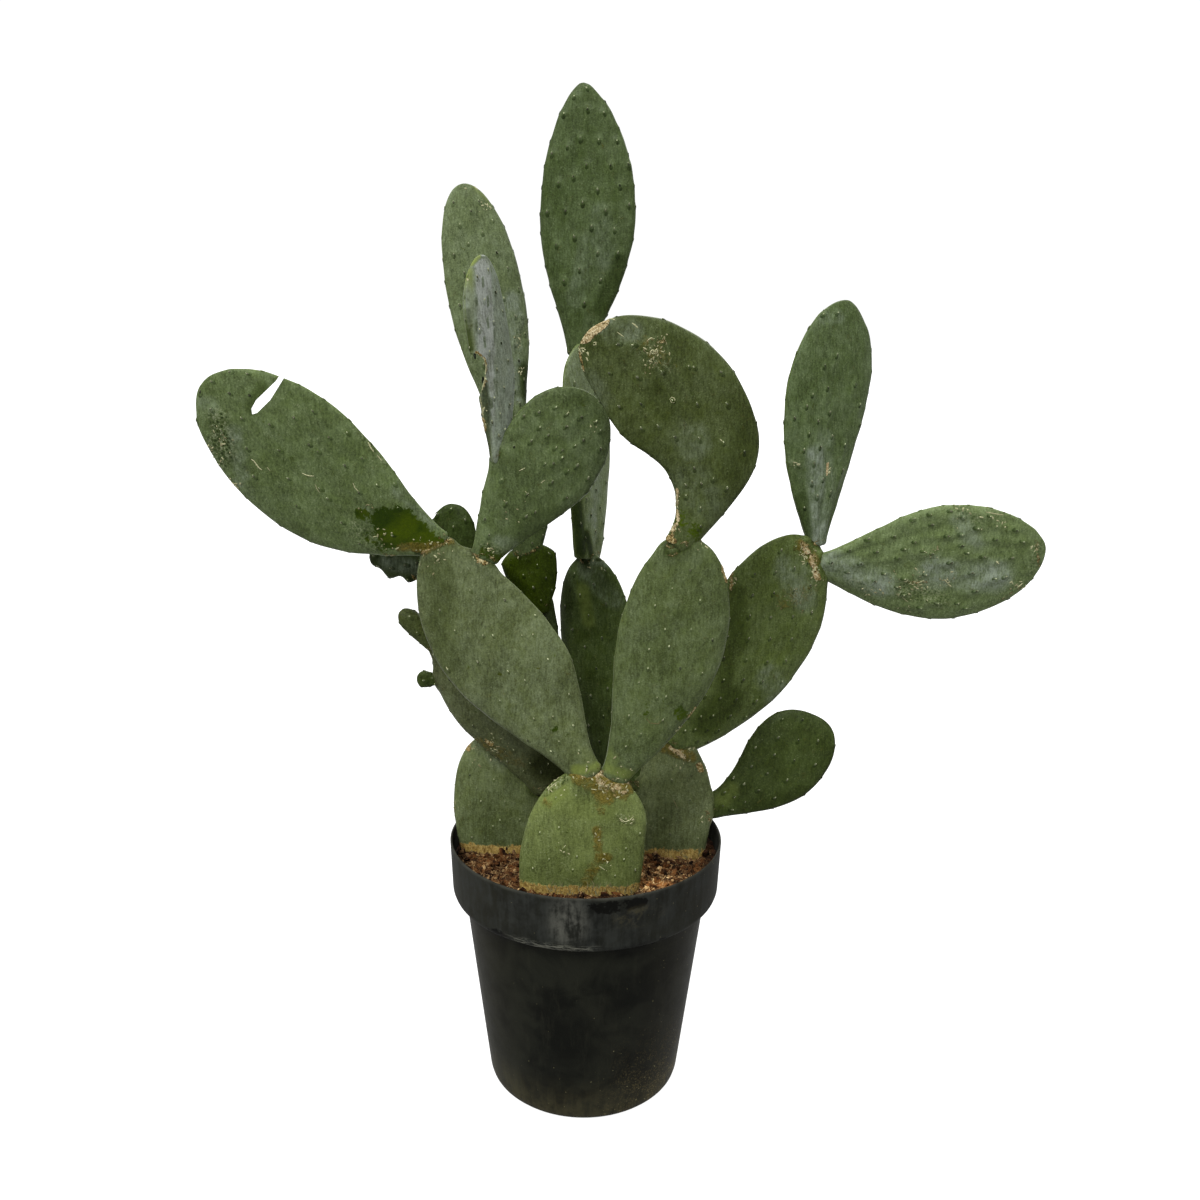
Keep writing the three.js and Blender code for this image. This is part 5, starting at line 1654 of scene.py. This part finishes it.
def pot_material():
    """Dusty black moulded plastic: grey film, smears under the plant, dirt low down on the right, and painted
    reflection on its left and right sides.
    """
    p = Paint("pot_plastic")
    place = p.where()
    x, _, z = p.axes(place)
    n = SimpleNamespace(
        clouds=p.noise(place, 45, 4, 0.6, 0.5), blots=p.noise(place, 14, 6, 0.72, 0.3),
        smears=p.noise(p.stretched(place, (1, 1, 0.16)), 9, 5, 0.7, 0.2),
        specks=p.noise(place, 1.8, 3, 0.7), crumbs=p.noise(place, 5, 5, 0.75))
    p.colour = p.between(p.step(n.clouds, 0.35, 0.7), "#0f100c", "#20211a")
    # lighter towards the left and right sides: painted reflection where the wall turns away
    p.coat(p.step(p.math("ABSOLUTE", x, 0.0), 0.04, 0.12, 0, 0.6), "#222012")
    p.coat(p.times(p.step(n.smears, 0.5, 0.72), 0.3), "#2e2e24")
    collar, film = paint_collar(p, n, place, x, z)
    paint_dirt(p, n, place, x, z, film)
    p.bump(p.plus(p.times(n.smears, 0.4), p.times(n.specks, 0.4), p.times(n.blots, 0.4)), 0.3, 0.6)
    return p.finish(p.step(p.plus(p.times(collar, 0.3), p.times(n.blots, 0.8)), 0.2, 1, 0.5, 0.7), 0.02)


# ---------------------------------------------------------------- soil

SOIL_STEP = 2.2
SOIL_SIDES = 320
SOIL_SHARP = 50
SOIL_SEED = 100
# depth, size and seed of the crumbling of the surface
SOIL_ROUGH = ((3.0, 11, 5), (1.3, 3.5, 6))
SOIL_SHADE = 0.35
# count, least and most size, and lightness
CRUMBS = (3400, 0.7, 2.2, 0.9)
CHUNKS = (420, 2.4, 5.4, 0.5)
CRUMB_DENTS = (0.75, 1.2)
CRUMB_LEAST, CRUMB_MOST = (0.4, 0.5, 0.8), (0.8, 1.0, 1.7)
CRUMB_RISE, CRUMB_SMALL = 0.35, 1.6
STRAW_SHARE, STRAW_SHADE, BIT_DARK = 0.2, 1.15, 1.4
FIBRES = 1300
FIBRE_STEPS = 6
FIBRE_ROOM = 16
FIBRE_LENGTH = (4, 16)
FIBRE_RADIUS = (0.12, 0.26)
FIBRE_CURL = 0.7
FIBRE_KINK = 0.15
FIBRE_RISE = (0.5, 1.6)
FIBRE_SHADE = (0.45, 0.5)
GOLD = (1 + math.sqrt(5)) / 2
ICO_POINTS = np.array([(-1, GOLD, 0), (1, GOLD, 0), (-1, -GOLD, 0), (1, -GOLD, 0),
                       (0, -1, GOLD), (0, 1, GOLD), (0, -1, -GOLD), (0, 1, -GOLD),
                       (GOLD, 0, -1), (GOLD, 0, 1), (-GOLD, 0, -1), (-GOLD, 0, 1)])
ICO_FACES = [(0, 11, 5), (0, 5, 1), (0, 1, 7), (0, 7, 10), (0, 10, 11), (1, 5, 9), (5, 11, 4), (11, 10, 2),
             (10, 7, 6), (7, 1, 8), (3, 9, 4), (3, 4, 2), (3, 2, 6), (3, 6, 8), (3, 8, 9), (4, 9, 5),
             (2, 4, 11), (6, 2, 10), (8, 6, 7), (9, 8, 1)]


def soil_radius():
    (rim_r, rim_z), (collar_r, collar_z) = POT_INSIDE[1], POT_INSIDE[2]
    return collar_r + (rim_r - collar_r) * (SOIL_Z - collar_z) / (rim_z - collar_z) - GAP


def soil_lump(x, y):
    """Height over the soil line, as in the solids."""
    swell = np.sin(x / 31 + 1) * np.cos(y / 27) + 0.6 * np.sin((x + y) / 17)
    grit = np.sin(x / 4.3 + 2) * np.sin(y / 3.7) + 0.5 * np.sin((x - 2 * y) / 6.1)
    return SOIL_SWELL * swell + SOIL_GRIT * grit


def soil_height(x, y):
    points = np.column_stack([x, y, np.zeros(len(x))])
    height = SOIL_Z + soil_lump(x, y)
    for depth, size, seed in SOIL_ROUGH:
        height = height + depth * grains(points, size, seed)
    return height


def random_turn(draw):
    q, _ = np.linalg.qr(draw.normal(0, 1, (3, 3)))
    return q


def bright(draw):
    """Most bits are dark, and one in five is as pale as straw."""
    return STRAW_SHADE if draw.random() < STRAW_SHARE else draw.random() ** BIT_DARK


def add_crumbs(shape, draw, edge, count, low, high, light):
    """Loose uneven lumps that lie on the soil."""
    r = (edge - high - 1) * np.sqrt(draw.random(count))
    a = draw.random(count) * 2 * np.pi
    x, y = r * np.cos(a), r * np.sin(a)
    for place in zip(x, y, soil_height(x, y)):
        size = low + (high - low) * draw.random() ** CRUMB_SMALL
        lump = ICO_POINTS / np.linalg.norm(ICO_POINTS[0]) * draw.uniform(*CRUMB_DENTS, (12, 1))
        lump = lump * size * draw.uniform(CRUMB_LEAST, CRUMB_MOST) @ random_turn(draw)
        middle = (place[0], place[1], place[2] + size * CRUMB_RISE)
        shape.add(lump + middle, ICO_FACES, grain=(light * bright(draw), 0, 0))


def add_fibre(shape, draw, edge):
    """Thin bent strand lying on the soil."""
    r = (edge - FIBRE_ROOM) * math.sqrt(draw.random())
    a, way = draw.random() * 2 * np.pi, draw.random() * 2 * np.pi
    length, radius = draw.uniform(*FIBRE_LENGTH), draw.uniform(*FIBRE_RADIUS)
    curl = draw.normal(0, FIBRE_CURL)
    x, y = [r * math.cos(a)], [r * math.sin(a)]
    for _ in range(FIBRE_STEPS):
        x.append(x[-1] + math.cos(way) * length / FIBRE_STEPS)
        y.append(y[-1] + math.sin(way) * length / FIBRE_STEPS)
        way += curl / 2 + draw.normal(0, FIBRE_KINK)
    x, y = np.array(x), np.array(y)
    low, arch = FIBRE_RISE
    z = soil_height(x, y) + low + arch * draw.random() * np.sin(np.linspace(0, np.pi, FIBRE_STEPS + 1))
    line = np.column_stack([x, y, z])
    ahead = np.gradient(line, axis=0)
    side = unit(np.cross(ahead, (0, 0, 1.0)), 1e-9)
    up = unit(np.cross(side, ahead), 1e-9)
    corners = np.stack([line + radius * (side * math.cos(b) + up * math.sin(b))
                        for b in (0, math.pi * 2 / 3, math.pi * 4 / 3)], 1)
    shape.add(tube(corners, line), grid_faces(FIBRE_STEPS + 1, 3, turned=True),
              grain=(at_share(FIBRE_SHADE, draw.random()), 0, 0))


def build_soil():
    draw = np.random.default_rng(SEED + SOIL_SEED)
    edge = soil_radius()
    rings = np.append(np.arange(SOIL_STEP, edge, SOIL_STEP)[:-1], edge)
    angle = np.linspace(0, 2 * np.pi, SOIL_SIDES, endpoint=False)
    x, y = (np.outer(rings, f(angle)).ravel() for f in (np.cos, np.sin))
    below = [(r - GAP, max(z, FLOOR + GAP)) for r, z in POT_INSIDE if z < SOIL_Z]
    walls = [np.column_stack([r * np.cos(angle), r * np.sin(angle), np.full(SOIL_SIDES, z)])
             for r, z in below]
    poles = [[0, 0, FLOOR + GAP], [0, 0, soil_height(np.zeros(1), np.zeros(1))[0]]]
    points = np.concatenate([np.column_stack([x, y, soil_height(x, y)]), *walls, poles])
    shape = Shape()
    shape.add(points, grid_faces(len(rings) + len(below), SOIL_SIDES, turned=True), grain=(SOIL_SHADE, 0, 0))
    for kind in (CRUMBS, CHUNKS):
        add_crumbs(shape, draw, edge, *kind)
    for _ in range(FIBRES):
        add_fibre(shape, draw, edge)
    finish_piece(shape.build("soil_mix", [soil_material()]), "soil", SOIL_SHARP)


def soil_material():
    """Coconut-fibre mix: dark moist brown with reddish and straw bits, with painted shade near the pot's wall
    except at the front and a painted pool of light right of the front pad.
    """
    p = Paint("soil_coir")
    grain = p.channels("grain")[0]
    place = p.where()
    fine = p.noise(place, 1.6, 5, 0.75)
    lumps = p.noise(place, 11, 4, 0.65, 0.5)
    dark = p.between(p.step(lumps, 0.35, 0.65), "#1c0f07", "#66401f")
    light = p.between(p.step(fine, 0.3, 0.7), "#8f6839", "#d4b684")
    p.colour = p.mix(p.step(p.plus(grain, p.swing(fine, 1.1)), 0.3, 0.95), dark, light)
    p.wash(p.step(lumps, 0.62, 0.4, 0, 0.65), (0.42, 0.34, 0.3))
    # painted light on the soil right of the front pad, where that pad's shadow falls
    p.wash(p.spot(place, (62, -58, 240), (32, 34, 50)), (2.7, 2.85, 2.9))
    # painted shade near the pot's wall, except at the front
    out = p.length(p.stretched(place, (1, 1, 0)))
    p.wash(p.times(p.step(out, 0.112, 0.13), p.step(p.axes(place)[1], -0.09, -0.04)), (0.35, 0.33, 0.32))
    p.bump(p.plus(fine, p.times(lumps, 0.6)), 1.6, 0.9)
    return p.finish(0.92, 0.05)


# ---------------------------------------------------------------- studio

FLOOR_SIZE = 60
FLOOR_GREYS = (0.09, 0.11)
FLOOR_GLOW = 0.95
# name, where from, power and spread in degrees
SUNS = (("key", (-0.5, -0.8, 1.15), 6, 24), ("fill", (0.6, 1, 0.9), 2.2, 60))
SKY_FROM = 0.3
SKY_LOW = 1.06
SKY_HIGH = 4.5


def overcast_sky():
    """White sky, brighter overhead than near the horizon."""
    world = bpy.data.worlds.new("studio")
    world.use_nodes = True
    nodes, links = world.node_tree.nodes, world.node_tree.links
    split = nodes.new("ShaderNodeSeparateXYZ")
    links.new(nodes.new("ShaderNodeTexCoord").outputs["Generated"], split.inputs[0])
    rise = nodes.new("ShaderNodeMapRange")
    rise.interpolation_type = "SMOOTHSTEP"
    links.new(split.outputs["Z"], rise.inputs["Value"])
    for key, number in (("From Min", SKY_FROM), ("From Max", 1.0), ("To Min", SKY_LOW), ("To Max", SKY_HIGH)):
        rise.inputs[key].default_value = number
    background = nodes["Background"]
    background.inputs["Color"].default_value = (1, 1, 1, 1)
    links.new(rise.outputs[0], background.inputs["Strength"])
    return world


def add_sun(name, way, power, spread):
    light = bpy.data.lights.new(name, "SUN")
    light.energy = power
    light.angle = math.radians(spread)
    sun = bpy.data.objects.new(name, light)
    sun.rotation_euler = Vector(way).to_track_quat("Z", "Y").to_euler()
    bpy.context.scene.collection.objects.link(sun)


def floor_material():
    """White that glows enough to melt into the sky."""
    p = Paint("studio_white")
    p.colour = p.mix(p.noise(p.where(), 900, 2), *((grey, grey, grey, 1) for grey in FLOOR_GREYS))
    p.shader.inputs["Emission Color"].default_value = (1, 1, 1, 1)
    p.shader.inputs["Emission Strength"].default_value = FLOOR_GLOW
    return p.finish(0.9, 0.1)


def build_studio():
    bpy.ops.mesh.primitive_plane_add(size=FLOOR_SIZE, location=(0, 0, 0))
    floor = bpy.context.object
    floor.name = "studio_floor"
    floor.data.materials.append(floor_material())
    bpy.context.scene.world = overcast_sky()
    for sun in SUNS:
        add_sun(*sun)
    bpy.context.scene.view_settings.view_transform = "Standard"


# ---------------------------------------------------------------- the object

make_camera()
build_pot()
build_soil()
pad_materials = [skin_material(), areole_material(), spine_material(), scar_material()]
for index, pad in enumerate(EVERY_PAD):
    build_pad(pad, index, pad_materials)
build_studio()
